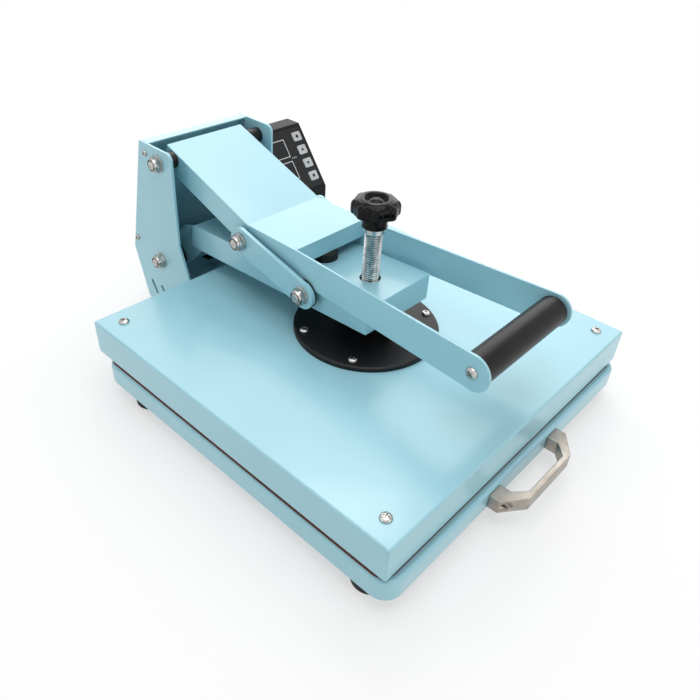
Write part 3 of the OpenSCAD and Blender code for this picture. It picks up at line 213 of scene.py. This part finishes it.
def powder_coat(name, dark, light, roughness, peel_mm, shine, coat, wander=0.03):
    """Polyester powder, sprayed and baked: an even satin with a faint orange peel."""
    m = new_material(name)
    cloud = object_noise(m, period_mm=90)
    skin = object_noise(m, period_mm=1.4, detail=3)
    return finish(m, Base_Color=tinted(m, cloud, dark, light),
        Roughness=uneven(m, cloud, roughness - wander, roughness + wander), IOR=1.5,
        Specular_IOR_Level=shine, Coat_Weight=coat, Coat_Roughness=0.14,
        Normal=relief(m, skin, peel_mm))


def plated_steel(name, dark, light, low, high, period_mm=6):
    """Plated, polished or bare steel: a grey mirror, blurred by the marks of rolls and tools."""
    m = new_material(name)
    marks = object_noise(m, period_mm, detail=3)
    return finish(m, Base_Color=tinted(m, marks, dark, light), Metallic=1.0,
        Roughness=uneven(m, marks, low, high))


def moulded_plastic(name, dark, light, roughness, grain_mm, depth_mm, shine=0.35):
    """A plastic, rubber or ink with one fine grain that breaks its shine up."""
    m = new_material(name)
    grain = object_noise(m, grain_mm, detail=3)
    return finish(m, Base_Color=tinted(m, object_noise(m, period_mm=40), dark, light),
        Roughness=roughness, IOR=1.5, Specular_IOR_Level=shine, Normal=relief(m, grain, depth_mm))


# Sheet steel in a pale blue baked powder: satin, with a soft white sheen on its level faces
blue_coat = powder_coat("pale_blue_polyester_powder", "#99cdda", "#9fd2df",
    roughness=0.32, peel_mm=0.012, shine=0.5, coat=0.35)
# Black powder on the flange: rougher, and it hardly mirrors anything
black_coat = powder_coat("black_polyester_powder", "#08080a", "#0d0d0f",
    roughness=0.45, peel_mm=0.03, shine=0.3, coat=0)
# Fasteners, shafts and spacers in bright zinc: sharp grey reflections
zinc_steel = plated_steel("zinc_plated_steel", "#a3a19e", "#c6c4c1",
    low=0.14, high=0.22)
# The pressure screw and the balls: brighter and bluer, as polished steel is
polished_steel = plated_steel("polished_screw_steel", "#a9acac", "#cfd2d2",
    low=0.14, high=0.24)
# Cold rolled slide rails: dull, with long soft reflections
rolled_steel = plated_steel("rolled_slide_steel", "#9fa2a3", "#bcbfc0",
    low=0.3, high=0.42, period_mm=12)
# The element's sheath has browned in the heat
sheath_steel = plated_steel("heat_tinted_sheath_steel", "#6f665c", "#8a8177",
    low=0.4, high=0.55, period_mm=9)
# ABS from a spark-eroded mould: flat black with a fine grain
abs_black = moulded_plastic("moulded_black_abs", "#0f0f11", "#141416",
    roughness=0.45, grain_mm=0.5, depth_mm=0.02, shine=0.16)
# Phenolic resin pressed in a polished mould: deep black with small clear highlights
phenolic = moulded_plastic("pressed_black_phenolic", "#070708", "#0a0a0b",
    roughness=0.12, grain_mm=2.5, depth_mm=0.003, shine=0.15)
# Extruded PVC tube: a long soft highlight down the grip
grip_plastic = moulded_plastic("extruded_black_pvc", "#0d0c0c", "#131211",
    roughness=0.34, grain_mm=1.2, depth_mm=0.008, shine=0.22)
# Turned nylon bushes and washers: a waxy black
nylon = moulded_plastic("turned_black_nylon", "#0c0c0d", "#121213",
    roughness=0.38, grain_mm=0.8, depth_mm=0.01)
# Moulded rubber: dull and dusty
rubber = moulded_plastic("moulded_black_rubber", "#0e0e0f", "#161617",
    roughness=0.6, grain_mm=0.7, depth_mm=0.03)
# Grey ABS keys with dark marks printed on them
key_plastic = moulded_plastic("moulded_grey_key_abs", "#b6b8ba", "#c3c5c7",
    roughness=0.38, grain_mm=0.5, depth_mm=0.01)
key_ink = moulded_plastic("dark_key_ink", "#1c1d20", "#242529",
    roughness=0.45, grain_mm=0.4, depth_mm=0.002)
# Printed polyester film: smoother than the box, with matt white lines
panel_film = moulded_plastic("printed_polyester_film", "#0b0b0d", "#111114",
    roughness=0.28, grain_mm=0.6, depth_mm=0.004)
line_ink = moulded_plastic("white_panel_ink", "#d7dadc", "#e4e6e8",
    roughness=0.45, grain_mm=0.4, depth_mm=0.002)
# Smoked acrylic, nearly black: a clear dark mirror
display = moulded_plastic("smoked_acrylic_window", "#0a0c10", "#0e1116",
    roughness=0.12, grain_mm=8, depth_mm=0.002)
# Solder mask over the board's copper: a glossy green
board = moulded_plastic("green_solder_mask", "#174d31", "#1d5a3a",
    roughness=0.35, grain_mm=1.5, depth_mm=0.01)


def cast_alloy():
    """Die-cast zinc, ground and nickel plated: fine scratches along a warm dull grey bar."""
    m = new_material("ground_nickel_casting")
    scratches = object_noise(m, period_mm=1.2, detail=4, roughness=0.6, stretch=(0.06, 1, 1))
    cloud = object_noise(m, period_mm=14)
    return finish(m, Base_Color=tinted(m, cloud, "#9c958c", "#b1aaa1"), Metallic=1.0,
        Roughness=uneven(m, scratches, 0.28, 0.46), Normal=relief(m, scratches, 0.01))


def platen_face():
    """Cast aluminium, milled flat: broad faint cutter arcs over a light grey."""
    m = new_material("milled_cast_aluminium")
    # Rings about 3 mm apart
    arcs = add(m, "ShaderNodeTexWave", {"wave_type": "RINGS"}, Scale=110.0, Distortion=1.5,
        Detail=2.0, Vector=add(m, "ShaderNodeTexCoord").outputs["Object"])
    cloud = object_noise(m, period_mm=30, detail=4)
    return finish(m, Base_Color=tinted(m, cloud, "#a8a6a2", "#bdbbb7"), Metallic=1.0,
        Roughness=uneven(m, cloud, 0.36, 0.5), Normal=relief(m, arcs, 0.01))


def silicone_sponge(cell_mm=0.9):
    """Cured silicone foam: dull red-brown with tiny open cells on the cut edge."""
    m = new_material("cured_silicone_sponge")
    cells = add(m, "ShaderNodeTexVoronoi", None,
        Vector=add(m, "ShaderNodeTexCoord").outputs["Object"], Scale=1 / (cell_mm * mm))
    return finish(m, Base_Color=tinted(m, object_noise(m, period_mm=25), "#4a2216", "#57291b"),
        Roughness=0.72, IOR=1.41, Normal=relief(m, cells, 0.05))


def fibre_blanket():
    """Needled glass fibre: off-white, with fibres drawn at 1 mm, as real ones are too fine."""
    m = new_material("needled_glass_fibre")
    fibres = object_noise(m, period_mm=1.0, detail=5, roughness=0.7, stretch=(1, 0.2, 1))
    return finish(m, Base_Color=tinted(m, fibres, "#cfccc2", "#e6e4dc"), Roughness=0.9,
        Sheen_Weight=0.2, Normal=relief(m, fibres, 0.2))


handle_alloy = cast_alloy()
milled_face = platen_face()
sponge = silicone_sponge()
blanket = fibre_blanket()

node_finish = {
    blue_coat: ["base_plate", "column_plate_left", "column_plate_right", "column_back_sheet",
        "column_front_sheet", "drawer_tray", "tray_ribs", "toggle_arm", "platen_cover",
        "hand_lever", "link_bars"],
    black_coat: ["round_flange", "swivel_housing", "guide_pins"],
    zinc_steel: ["case_screws", "upper_pivot_shaft", "lower_pivot_shaft", "pivot_nuts",
        "handle_screws", "screw_nut", "corner_screws", "flange_screws", "thrust_collar",
        "grip_screws", "lever_pin_bolts", "lever_pin_nuts", "arm_pin_bolts", "arm_pin_nuts",
        "grip_core", "platen_spacers"],
    polished_steel: ["pressure_screw", "bearing_balls"],
    rolled_steel: ["slide_outers", "slide_inners", "ball_cages"],
    sheath_steel: ["heating_element"],
    handle_alloy: ["pull_handle"],
    milled_face: ["heat_platen"],
    rubber: ["rubber_feet", "stop_bumper"],
    sponge: ["silicone_pad"],
    abs_black: ["control_box", "box_back", "power_inlet", "switch_frame", "switch_rocker"],
    phenolic: ["star_knob"],
    grip_plastic: ["grip_sleeve"],
    panel_film: ["control_panel"],
    display: ["display_window"],
    key_plastic: ["button_1", "button_2", "button_3", "button_4"],
    nylon: ["upper_pivot_bushes", "lower_pivot_bushes", "glide_strips", "link_washers"],
    blanket: ["insulation_mat"],
    board: ["control_board"],
}
finish_of = {n: m for m, names in node_finish.items() for n in names}
for n, ob in nodes.items():
    ob.data.materials.clear()
    ob.data.materials.append(finish_of[n])


# Ways of working

merge_distance = 1e-6


def deselect():
    if bpy.context.object and bpy.context.object.mode != "OBJECT":
        bpy.ops.object.mode_set(mode="OBJECT")
    bpy.ops.object.select_all(action="DESELECT")


def only(ob):
    deselect()
    ob.select_set(True)
    bpy.context.view_layer.objects.active = ob


def edit(ob, pick="SELECT"):
    only(ob)
    bpy.ops.object.mode_set(mode="EDIT")
    bpy.ops.mesh.select_all(action=pick)


def volume(ob):
    """The signed volume inside a closed mesh: below zero when its faces point inwards."""
    ob.data.calc_loop_triangles()
    at = [v.co for v in ob.data.vertices]
    corners = [[at[i] for i in t.vertices] for t in ob.data.loop_triangles]
    return sum(a.dot(b.cross(c)) for a, b, c in corners) / 6


def close(ob):
    """Back to object mode with one clean skin that faces outwards."""
    edit(ob)
    bpy.ops.mesh.remove_doubles(threshold=merge_distance)
    bpy.ops.mesh.normals_make_consistent(inside=False)
    bpy.ops.object.mode_set(mode="OBJECT")
    if volume(ob) < 0:
        edit(ob)
        bpy.ops.mesh.flip_normals()
        bpy.ops.object.mode_set(mode="OBJECT")


def apply_modifier(ob, kind, **settings):
    only(ob)
    mod = ob.modifiers.new(kind.lower(), kind)
    for key, value in settings.items():
        setattr(mod, key, value)
    bpy.ops.object.modifier_apply(modifier=mod.name)


def cut(ob, tool, operation="DIFFERENCE"):
    """A boolean with another mesh, which is used up."""
    apply_modifier(ob, "BOOLEAN", operation=operation, solver="EXACT", object=tool)
    bpy.data.objects.remove(tool)


def settle(ob):
    """Puts the piece's place into its mesh."""
    only(ob)
    bpy.ops.object.transform_apply(location=True, rotation=True, scale=True)


def joined(name, parts):
    """One object from several."""
    deselect()
    for p in parts:
        p.select_set(True)
    bpy.context.view_layer.objects.active = parts[0]
    if len(parts) > 1:
        bpy.ops.object.join()
    parts[0].name = name
    return parts[0]


def copy_at(ob, matrix):
    """A copy with its own mesh, moved by matrix."""
    twin = ob.copy()
    twin.data = ob.data.copy()
    bpy.context.scene.collection.objects.link(twin)
    twin.matrix_world = matrix @ ob.matrix_world
    return twin


def at_mm(x, y, z, turn=0):
    """A place in mm with a turn in degrees about Z."""
    return Matrix.Translation((x * mm, y * mm, z * mm)) @ Matrix.Rotation(radians(turn), 4, "Z")


def hand_in(ob, material, body, node=None, smooth=35, moved=screw_y):
    """Gives a finished piece its place, its material and its body, and hides the node that it
    stands for.

    Edges that turn by less than smooth degrees are shaded round.
    """
    settle(ob)
    ob.location.y = moved
    settle(ob)
    ob.data.materials.clear()
    ob.data.materials.append(material)
    only(ob)
    bpy.ops.object.shade_smooth_by_angle(angle=radians(smooth))
    apply_modifier(ob, "WEIGHTED_NORMAL", keep_sharp=True)
    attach(ob, body)
    if node:
        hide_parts(node)
    return ob


def turned(name, rings, steps=48, axis="Z", at=(0, 0, 0)):
    """A turned part: a disc extruded through rings of (radius, height), then laid on its axis."""
    first_r, first_z = rings[0]
    bpy.ops.mesh.primitive_circle_add(vertices=steps, radius=first_r * mm, fill_type="NGON",
        location=(0, 0, first_z * mm))
    ob = bpy.context.object
    ob.name = name
    settle(ob)
    edit(ob)
    for (r0, z0), (r1, z1) in zip(rings, rings[1:]):
        bpy.ops.mesh.extrude_region_move(TRANSFORM_OT_translate={"value": (0, 0, (z1 - z0) * mm)})
        if r1 != r0:
            wider = r1 / r0
            bpy.ops.transform.resize(value=(wider, wider, 1), center_override=(0, 0, z1 * mm))
    close(ob)
    quarter = {"Z": 0, "X": 90, "-X": -90}[axis]
    ob.rotation_euler = (0, radians(quarter), 0)
    ob.location = [c * mm for c in at]
    settle(ob)
    return ob


def block(name, low, high):
    """A box between two corners in mm."""
    centre = [(a + b) / 2 * mm for a, b in zip(low, high)]
    bpy.ops.mesh.primitive_cube_add(size=1, location=centre)
    ob = bpy.context.object
    ob.name = name
    ob.scale = [(b - a) * mm for a, b in zip(low, high)]
    settle(ob)
    return ob


def bevel_edges(ob, width, segments, keep):
    """Bevels the edges for which keep(both ends, both face normals) is true. Width in mm."""
    edit(ob, "DESELECT")
    bpy.ops.mesh.select_mode(type="EDGE")
    bpy.ops.object.mode_set(mode="OBJECT")
    mesh = ob.data
    faces = {}
    for poly in mesh.polygons:
        for key in poly.edge_keys:
            faces.setdefault(key, []).append(poly.normal)
    for e in mesh.edges:
        normals = faces.get(tuple(sorted(e.vertices)), [])
        ends = [mesh.vertices[v].co for v in e.vertices]
        e.select = len(normals) == 2 and keep(*ends, *normals)
    bpy.ops.object.mode_set(mode="EDIT")
    bpy.ops.mesh.bevel(offset=width * mm, segments=segments, affect="EDGES", clamp_overlap=False)
    bpy.ops.object.mode_set(mode="OBJECT")


def node_copy(node):
    """The node's own form as one merged mesh, with the triangles of its flat faces joined."""
    ob = bpy.data.objects.new(node + "_soft", nodes[node].data.copy())
    bpy.context.scene.collection.objects.link(ob)
    edit(ob)
    bpy.ops.mesh.remove_doubles(threshold=merge_distance)
    bpy.ops.mesh.dissolve_limited(angle_limit=radians(0.3))
    return ob


# Folded and cast parts: the long sharp edges of a node rounded, as paint and tooling leave them

sharp_angle, shortest_edge = radians(35), 4 * mm
# How wide the edges of each part are rounded, in mm
edge_round = {"column_plate_left": 0.6, "column_plate_right": 0.6, "column_back_sheet": 0.5,
    "column_front_sheet": 0.4, "toggle_arm": 0.9, "hand_lever": 0.7, "link_bars": 0.8,
    "pull_handle": 0.9, "control_box": 1.0, "base_plate": 0.5, "round_flange": 0.4}
# A low smoothing angle keeps the lever's fold crisp
crisp_fold = {"hand_lever": 14}


def long_and_sharp(a, b, m, n):
    return (a - b).length > shortest_edge and m.angle(n, 0) > sharp_angle


for name, width in edge_round.items():
    part = node_copy(name)
    bevel_edges(part, width, segments=2, keep=long_and_sharp)
    hand_in(part, finish_of[name], body_of[name], name, smooth=crisp_fold.get(name, 35), moved=0)


# Platen cover: a folded sheet with rounded bends, open below

cover = block("folded_cover", (-cover_half, -cover_half, cover_low),
    (cover_half, cover_half, cover_top))
bevel_edges(cover, cover_bend, segments=4,
    keep=lambda a, b, m, n: max(a.z, b.z) > (cover_top - 1) * mm)
edit(cover, "DESELECT")
bpy.ops.mesh.select_mode(type="FACE")
bpy.ops.object.mode_set(mode="OBJECT")
for poly in cover.data.polygons:
    poly.select = poly.normal.z < -0.9
bpy.ops.object.mode_set(mode="EDIT")
bpy.ops.mesh.delete(type="FACE")
close(cover)
apply_modifier(cover, "SOLIDIFY", thickness=cover_sheet * mm, offset=-1)
hand_in(cover, blue_coat, "platen", "platen_cover")


# Screws with a cross recess

# A pan head as shares of its radius and height, from its seat up
pan_head = [(0.96, 0), (1, 0.18), (0.97, 0.45), (0.86, 0.74), (0.66, 0.92), (0.35, 1)]
# The recess: half its blade's width as a share of its length, its floor as a share of the height
blade_share, recess_floor, recess_turn = 0.24, 0.35, 20


def cross_head(head_r, head_h, cross, shank_r, shank_l):
    """A pan head with a punched cross, its seat on z = 0 and its shank below."""
    shank = [(shank_r * 0.8, -shank_l), (shank_r, -shank_l + shank_r * 0.3), (shank_r, 0)]
    head = turned("head", shank + [(head_r * r, head_h * z) for r, z in pan_head], steps=40)
    half = cross * blade_share
    for turn in (0, 90):
        blade = block("blade", (-cross, -half, head_h * recess_floor), (cross, half, head_h + 1))
        blade.rotation_euler.z = radians(turn + recess_turn)
        settle(blade)
        cut(head, blade)
    return head


def set_of_screws(node, head, places):
    """One screw copied to all its places."""
    twins = [copy_at(head, p) for p in places]
    bpy.data.objects.remove(head)
    hand_in(joined(node + "_cross", twins), zinc_steel, body_of[node], node, smooth=30)


corners = [(-1, -1), (1, -1), (1, 1), (-1, 1)]
corner_screw = cross_head(head_r=5.5, head_h=3, cross=2.9, shank_r=2.5, shank_l=29)
set_of_screws("corner_screws", corner_screw,
    [at_mm(sx * corner_screw_at, sy * corner_screw_at, cover_top, turn=37 * i)
        for i, (sx, sy) in enumerate(corners)])
flange_angles = [radians(30 + 360 / flange_screw_count * i) for i in range(flange_screw_count)]
flange_screw = cross_head(head_r=4.6, head_h=3, cross=2.4, shank_r=2.5, shank_l=35)
set_of_screws("flange_screws", flange_screw,
    [at_mm(flange_screw_circle * cos(a), flange_screw_circle * sin(a), flange_top, turn=25 * i)
        for i, a in enumerate(flange_angles)])


# Pressure screw: a rolled thread under a turned collar

thread_pitch = 2.5
# One tooth as (radius, share of the pitch)
thread_root, thread_crest = 7.5, 8.8
tooth = [(thread_root, 0), (thread_root, 0.12), (thread_crest, 0.44), (thread_crest, 0.56),
    (thread_root, 0.88), (thread_root, 1)]
thread_low, thread_high = 104.4, 196.5


def rolled_thread(name):
    """A helical thread: one tooth's outline drawn as edges and screwed up the rod."""
    bpy.ops.mesh.primitive_circle_add(vertices=3, radius=mm)
    ob = bpy.context.object
    ob.name = name
    edit(ob)
    bpy.ops.mesh.delete(type="VERT")
    bpy.ops.object.mode_set(mode="OBJECT")
    outline = [(r * mm, 0, (thread_low + share * thread_pitch) * mm) for r, share in tooth]
    ob.data.from_pydata(outline, [(i, i + 1) for i in range(len(outline) - 1)], [])
    turns = int((thread_high - thread_low) / thread_pitch) - 1
    apply_modifier(ob, "SCREW", axis="Z", angle=2 * pi, screw_offset=thread_pitch * mm,
        iterations=turns, steps=40, render_steps=40, use_merge_vertices=True,
        merge_threshold=merge_distance)
    edit(ob)
    bpy.ops.mesh.remove_doubles(threshold=merge_distance)
    bpy.ops.mesh.fill_holes(sides=0)
    close(ob)
    return ob


thread = rolled_thread("thread")
# The lower journal, the core inside the thread, the turned collar and the spigot in the knob
screw_journal = [(5.5, 88.3), (5.5, 104.3), (8, 104.3), (8.2, 106)]
screw_core = [(7.4, 106), (7.4, 194)]
screw_collar = [(8.6, 194.4), (10.1, 194.6), (10.5, 195), (10.5, 199.9), (9.9, 200.5)]
screw_spigot = [(6, 200.5), (6, 222.5)]
collar = turned("collar", screw_journal + screw_core + screw_collar + screw_spigot, steps=64)
hand_in(joined("rolled_pressure_screw", [collar, thread]), polished_steel, "knob",
    "pressure_screw", smooth=40)


# Star knob: a dished head with lobes round it, on a waisted hub

lobe_count, lobe_circle = 8, 16.6
knob_side = [(20, 214), (21.6, 214.7), (22.2, 216.2), (22.2, 222.6), (21.7, 224.9), (20.4, 227)]
knob_shoulder = [(18.4, 228.4), (16.2, 229.3), (14.2, 229.9), (12.8, 230), (11.6, 229.6)]
knob_dish = [(10.6, 228.4), (10, 227), (9.2, 226.4), (8, 226.6)]
knob_boss = [(6.4, 227.6), (4.6, 228.6), (2.6, 229.2), (1, 229.4)]
lobe_side = [(5.6, 214.2), (7, 215), (7.4, 216.6), (7.4, 222.4), (7, 224.4)]
lobe_top = [(5.9, 226.2), (4.3, 227.4), (2.6, 227.9)]
hub_waist = [(12.2, 200.5), (12.8, 201.1), (12.5, 205), (12.4, 209), (12.8, 213), (14.2, 215.5)]
spigot_bore = [(6.05, 199), (6.05, 222.8)]

knob = turned("knob_head", knob_side + knob_shoulder + knob_dish + knob_boss, steps=96)
for i in range(lobe_count):
    a = 2 * pi * i / lobe_count
    at = (lobe_circle * cos(a), lobe_circle * sin(a), 0)
    cut(knob, turned("lobe", lobe_side + lobe_top, steps=40, at=at), "UNION")
cut(knob, turned("knob_hub", hub_waist, steps=64), "UNION")
cut(knob, turned("knob_bore", spigot_bore, steps=64))
hand_in(knob, phenolic, "knob", "star_knob", smooth=42)


# Locking nuts

def locking_nut(af, height, bore_r):
    """A collar nut: a chamfered hexagon between its washer face and the crown round its insert."""
    r = af / 2 / cos(pi / 6)
    bpy.ops.mesh.primitive_cylinder_add(vertices=6, radius=r * mm, depth=(height * 0.66) * mm,
        location=(0, 0, height * 0.39 * mm))
    nut = bpy.context.object
    settle(nut)
    chamfer = [(r * 0.97, 0), (r * 1.02, height * 0.1), (r * 1.02, height * 0.5),
        (r * 0.86, height * 0.75)]
    washer = [(9, 0), (9.4, 0.4), (9.4, 1.1), (9, 1.6), (7.8, 1.9), (7.8, 3)]
    crown = [(6.4, 2), (7.6, height * 0.66), (7.5, height * 0.8), (7.2, height * 0.9),
        (6.8, height * 0.97), (6.4, height)]
    bore = [(bore_r, -1), (bore_r, height - 3), (6.4, height - 2.8), (6.4, height + 1)]
    cut(nut, turned("chamfer", chamfer, steps=64), "INTERSECT")
    cut(nut, turned("washer", washer, steps=64), "UNION")
    cut(nut, turned("crown", crown, steps=64), "UNION")
    cut(nut, turned("bore", bore, steps=48))
    return nut


def outward(x):
    """Turns a piece that points up to point away from the centre plane."""
    return Matrix.Rotation(radians(90 if x > 0 else -90), 4, "Y")


def spun(angle):
    """A spin about the piece's own axis, in radians."""
    return Matrix.Rotation(angle, 4, "Z")


def nuts_for(node, places):
    """Nuts that face outwards, each at (x, y, z) with its spin in degrees."""
    twins = [copy_at(nut, at_mm(x, y, z) @ outward(x) @ spun(radians(spin)))
        for x, y, z, spin in places]
    hand_in(joined(node + "_locking", twins), zinc_steel, body_of[node], node, smooth=32)


nut = locking_nut(nut_af, nut_height, pin_r + nut_slip)
shaft_ends = [(-column_out, *upper_pivot), (column_out, *upper_pivot), (-column_out, *lower_pivot),
    (column_out, *lower_pivot)]
nuts_for("pivot_nuts", [(*end, 11 * i) for i, end in enumerate(shaft_ends)])
nuts_for("lever_pin_nuts", [(x, *lever_pin, 17) for x in (-lever_pin_seat, lever_pin_seat)])
nuts_for("arm_pin_nuts", [(x, *arm_pin, 5) for x in (-arm_pin_seat, arm_pin_seat)])
bpy.data.objects.remove(nut)


# Case and grip screws

plates = (column_out, -column_out)
case_places = [at_mm(x, *yz) @ outward(x) for x in plates for yz in column_screws]
case_places += [at_mm(column_in, *yz) @ outward(-1) for yz in box_screws]
case_places += [at_mm(box_side, *box_side_screw) @ outward(1)]
case_screw = cross_head(head_r=3.6, head_h=2.4, cross=2.0, shank_r=2, shank_l=9)
set_of_screws("case_screws", case_screw, [p @ spun(i) for i, p in enumerate(case_places)])
grip_screw = cross_head(head_r=5.7, head_h=3, cross=3.0, shank_r=3, shank_l=11)
set_of_screws("grip_screws", grip_screw,
    [at_mm(s * grip_screw_x, *grip_at, turn=s * side_arm_splay) @ outward(s) @ spun(0.5)
        for s in (1, -1)])


# Shafts and shouldered pins

def bolt_end(x):
    """The chamfered and centre-drilled end of a threaded shank at x."""
    return [(pin_r, x - 0.7), (4.3, x), (2.2, x), (1.2, x - 0.5)]


def shaft(node, r, at):
    """A plain shaft between the column's sides, with a thread on each end."""
    half = [(r, column_in), (pin_r, column_in)] + bolt_end(shaft_end)
    both = [(r, -x) for r, x in reversed(half)] + half
    ob = turned(node + "_turned", both, steps=64, axis="X", at=(0, *at))
    hand_in(ob, zinc_steel, body_of[node], node)


def pins(node, rings, at):
    """The same pin on both sides."""
    pair = [turned("bolt", rings, steps=48, axis=way, at=(0, *at)) for way in ("X", "-X")]
    hand_in(joined(node + "_turned", pair), zinc_steel, body_of[node], node)


shaft("upper_pivot_shaft", r=6, at=upper_pivot)
shaft("lower_pivot_shaft", r=8, at=lower_pivot)
lever_shoulder = [(7.6, 44.5), (8, 44.9), (8, 49.5), (pin_r, 49.5)]
arm_shoulder = [(6, 48.8), (6, 54.6), (pin_r, 54.6)]
pins("lever_pin_bolts", lever_shoulder + bolt_end(lever_pin_end), lever_pin)
pins("arm_pin_bolts", arm_shoulder + bolt_end(arm_pin_end), arm_pin)


# Grip sleeve

grip_end = [(grip_r, grip_half - grip_edge_along), (grip_r - grip_edge_in, grip_half)]
grip_rings = [(r, -x) for r, x in reversed(grip_end)] + grip_end
grip_bore = [(grip_bore_r, -grip_bore_half), (grip_bore_r, grip_bore_half)]
grip = turned("grip_tube", grip_rings, steps=96, axis="X", at=(0, *grip_at))
cut(grip, turned("bore", grip_bore, steps=64, axis="X", at=(0, *grip_at)))
hand_in(grip, grip_plastic, "lever", "grip_sleeve")


# Control panel: printed lines, and keys with marks

# Here x runs right and y up the slope, from the top left corner of the front
ink_height = 0.05
panel_ink_at, key_ink_at, key_top = 1.2, 2.7, 2.6
line_width = 0.9
window_x, window_ys, window_w, window_h = 31.5, (-26.75, -55.75), 39, 23.5
tick_x, tick_y, tick_w, tick_h, tick_pitch, tick_count = 52.5, -41.7, 1.1, 1.5, 3, 3
dot_x, dot_y, dot_r, dot_pitch, dot_count = 14, -74.5, 1.3, 6, 4
key_x, key_y, key_pitch, key_bevel = 73.5, -16.4, 18, 0.6
# Each key's mark as (sides, radius, the first corner's angle): a disc, two triangles and a square
key_marks = ((24, 2.3, 0), (3, 2.9, pi / 2), (3, 2.9, -pi / 2), (4, 2.9, pi / 4))

slope = (Matrix.Translation((0, screw_y, 0)) @ at_mm(*slope_top)
    @ Matrix.Rotation(radians(slope_angle), 4, "X"))


def printed(name, shapes, height, material, body):
    """Ink on the sloping front: flat outlines given as points in mm, as thick as ink_height."""
    parts = []
    for points in shapes:
        bpy.ops.mesh.primitive_circle_add(vertices=len(points), radius=mm, fill_type="NGON")
        ob = bpy.context.object
        for v, (x, y) in zip(ob.data.vertices, points):
            v.co = (x * mm, y * mm, height * mm)
        edit(ob)
        bpy.ops.mesh.normals_make_consistent(inside=False)
        bpy.ops.mesh.extrude_region_move(TRANSFORM_OT_translate={"value": (0, 0, ink_height * mm)})
        close(ob)
        parts.append(ob)
    ob = joined(name, parts)
    ob.matrix_world = slope
    hand_in(ob, material, body, moved=0)
    return ob


def bar(x0, y0, x1, y1):
    return [(x0, y0), (x1, y0), (x1, y1), (x0, y1)]


def window_frame(x, y, w, h, t):
    """Four printed bars round a window whose centre is x, y."""
    left, right, low, high = x - w / 2, x + w / 2, y - h / 2, y + h / 2
    return [bar(left, low, right, low + t), bar(left, high - t, right, high),
        bar(left, low + t, left + t, high - t), bar(right - t, low + t, right, high - t)]


def ring_points(x, y, r, n, start=0):
    angles = [start + 2 * pi * i / n for i in range(n)]
    return [(x + r * cos(a), y + r * sin(a)) for a in angles]


lines = []
for y in window_ys:
    lines += window_frame(window_x, y, window_w, window_h, line_width)
for i in range(tick_count):
    x = tick_x + tick_pitch * i
    lines.append(bar(x, tick_y, x + tick_w, tick_y + tick_h))
lines += [ring_points(dot_x + dot_pitch * i, dot_y, dot_r, n=16) for i in range(dot_count)]
printed("panel_lines", lines, panel_ink_at, line_ink, "base")

key_face = slope @ Vector((0, 0, key_top * mm))
key_way = slope.to_3x3() @ Vector((0, 0, 1))


def on_key_face(a, b, m, n):
    return (a - key_face).dot(key_way) > 0 and (b - key_face).dot(key_way) > 0


for i, (sides, r, start) in enumerate(key_marks):
    body, node = f"key_{i + 1}", f"button_{i + 1}"
    mark = ring_points(key_x, key_y - key_pitch * i, r, sides, start)
    printed(f"key_mark_{i + 1}", [mark], key_ink_at, key_ink, body)
    key = node_copy(node)
    bevel_edges(key, key_bevel, segments=3, keep=on_key_face)
    hand_in(key, key_plastic, body, node, smooth=40, moved=0)


# Floor: near the press the paper takes its soft shadow, and farther out it is seen plain white

# The side and the distances from the middle in metres, and the share of plain white near the press
floor_side, shadow_from, shadow_to, near_white = 9, 0.3, 0.72, 0.55
bpy.ops.mesh.primitive_plane_add(size=floor_side, location=(0, 0, 0))
floor = bpy.context.object
floor.name = "studio_floor"
paper = new_material("white_paper_sweep")
matt = add(paper, "ShaderNodeBsdfDiffuse", None, Color=srgb("#f7f7f7"))
bright = add(paper, "ShaderNodeEmission", None, Color=srgb("#ffffff"), Strength=1.0)
away = add(paper, "ShaderNodeVectorMath", {"operation": "LENGTH"},
    _0=add(paper, "ShaderNodeTexCoord").outputs["Object"])
far = add(paper, "ShaderNodeMapRange", {"interpolation_type": "SMOOTHSTEP"},
    Value=away.outputs["Value"], From_Min=shadow_from, From_Max=shadow_to,
    To_Min=near_white, To_Max=1.0)
seen_far = add(paper, "ShaderNodeMath", {"operation": "MULTIPLY"},
    _0=far.outputs[0], _1=background_rays(paper))
paper_mix = add(paper, "ShaderNodeMixShader", None,
    Fac=seen_far.outputs[0], _1=matt.outputs[0], _2=bright.outputs[0])
add(paper, "ShaderNodeOutputMaterial", None, Surface=paper_mix.outputs[0])
floor.data.materials.append(paper)
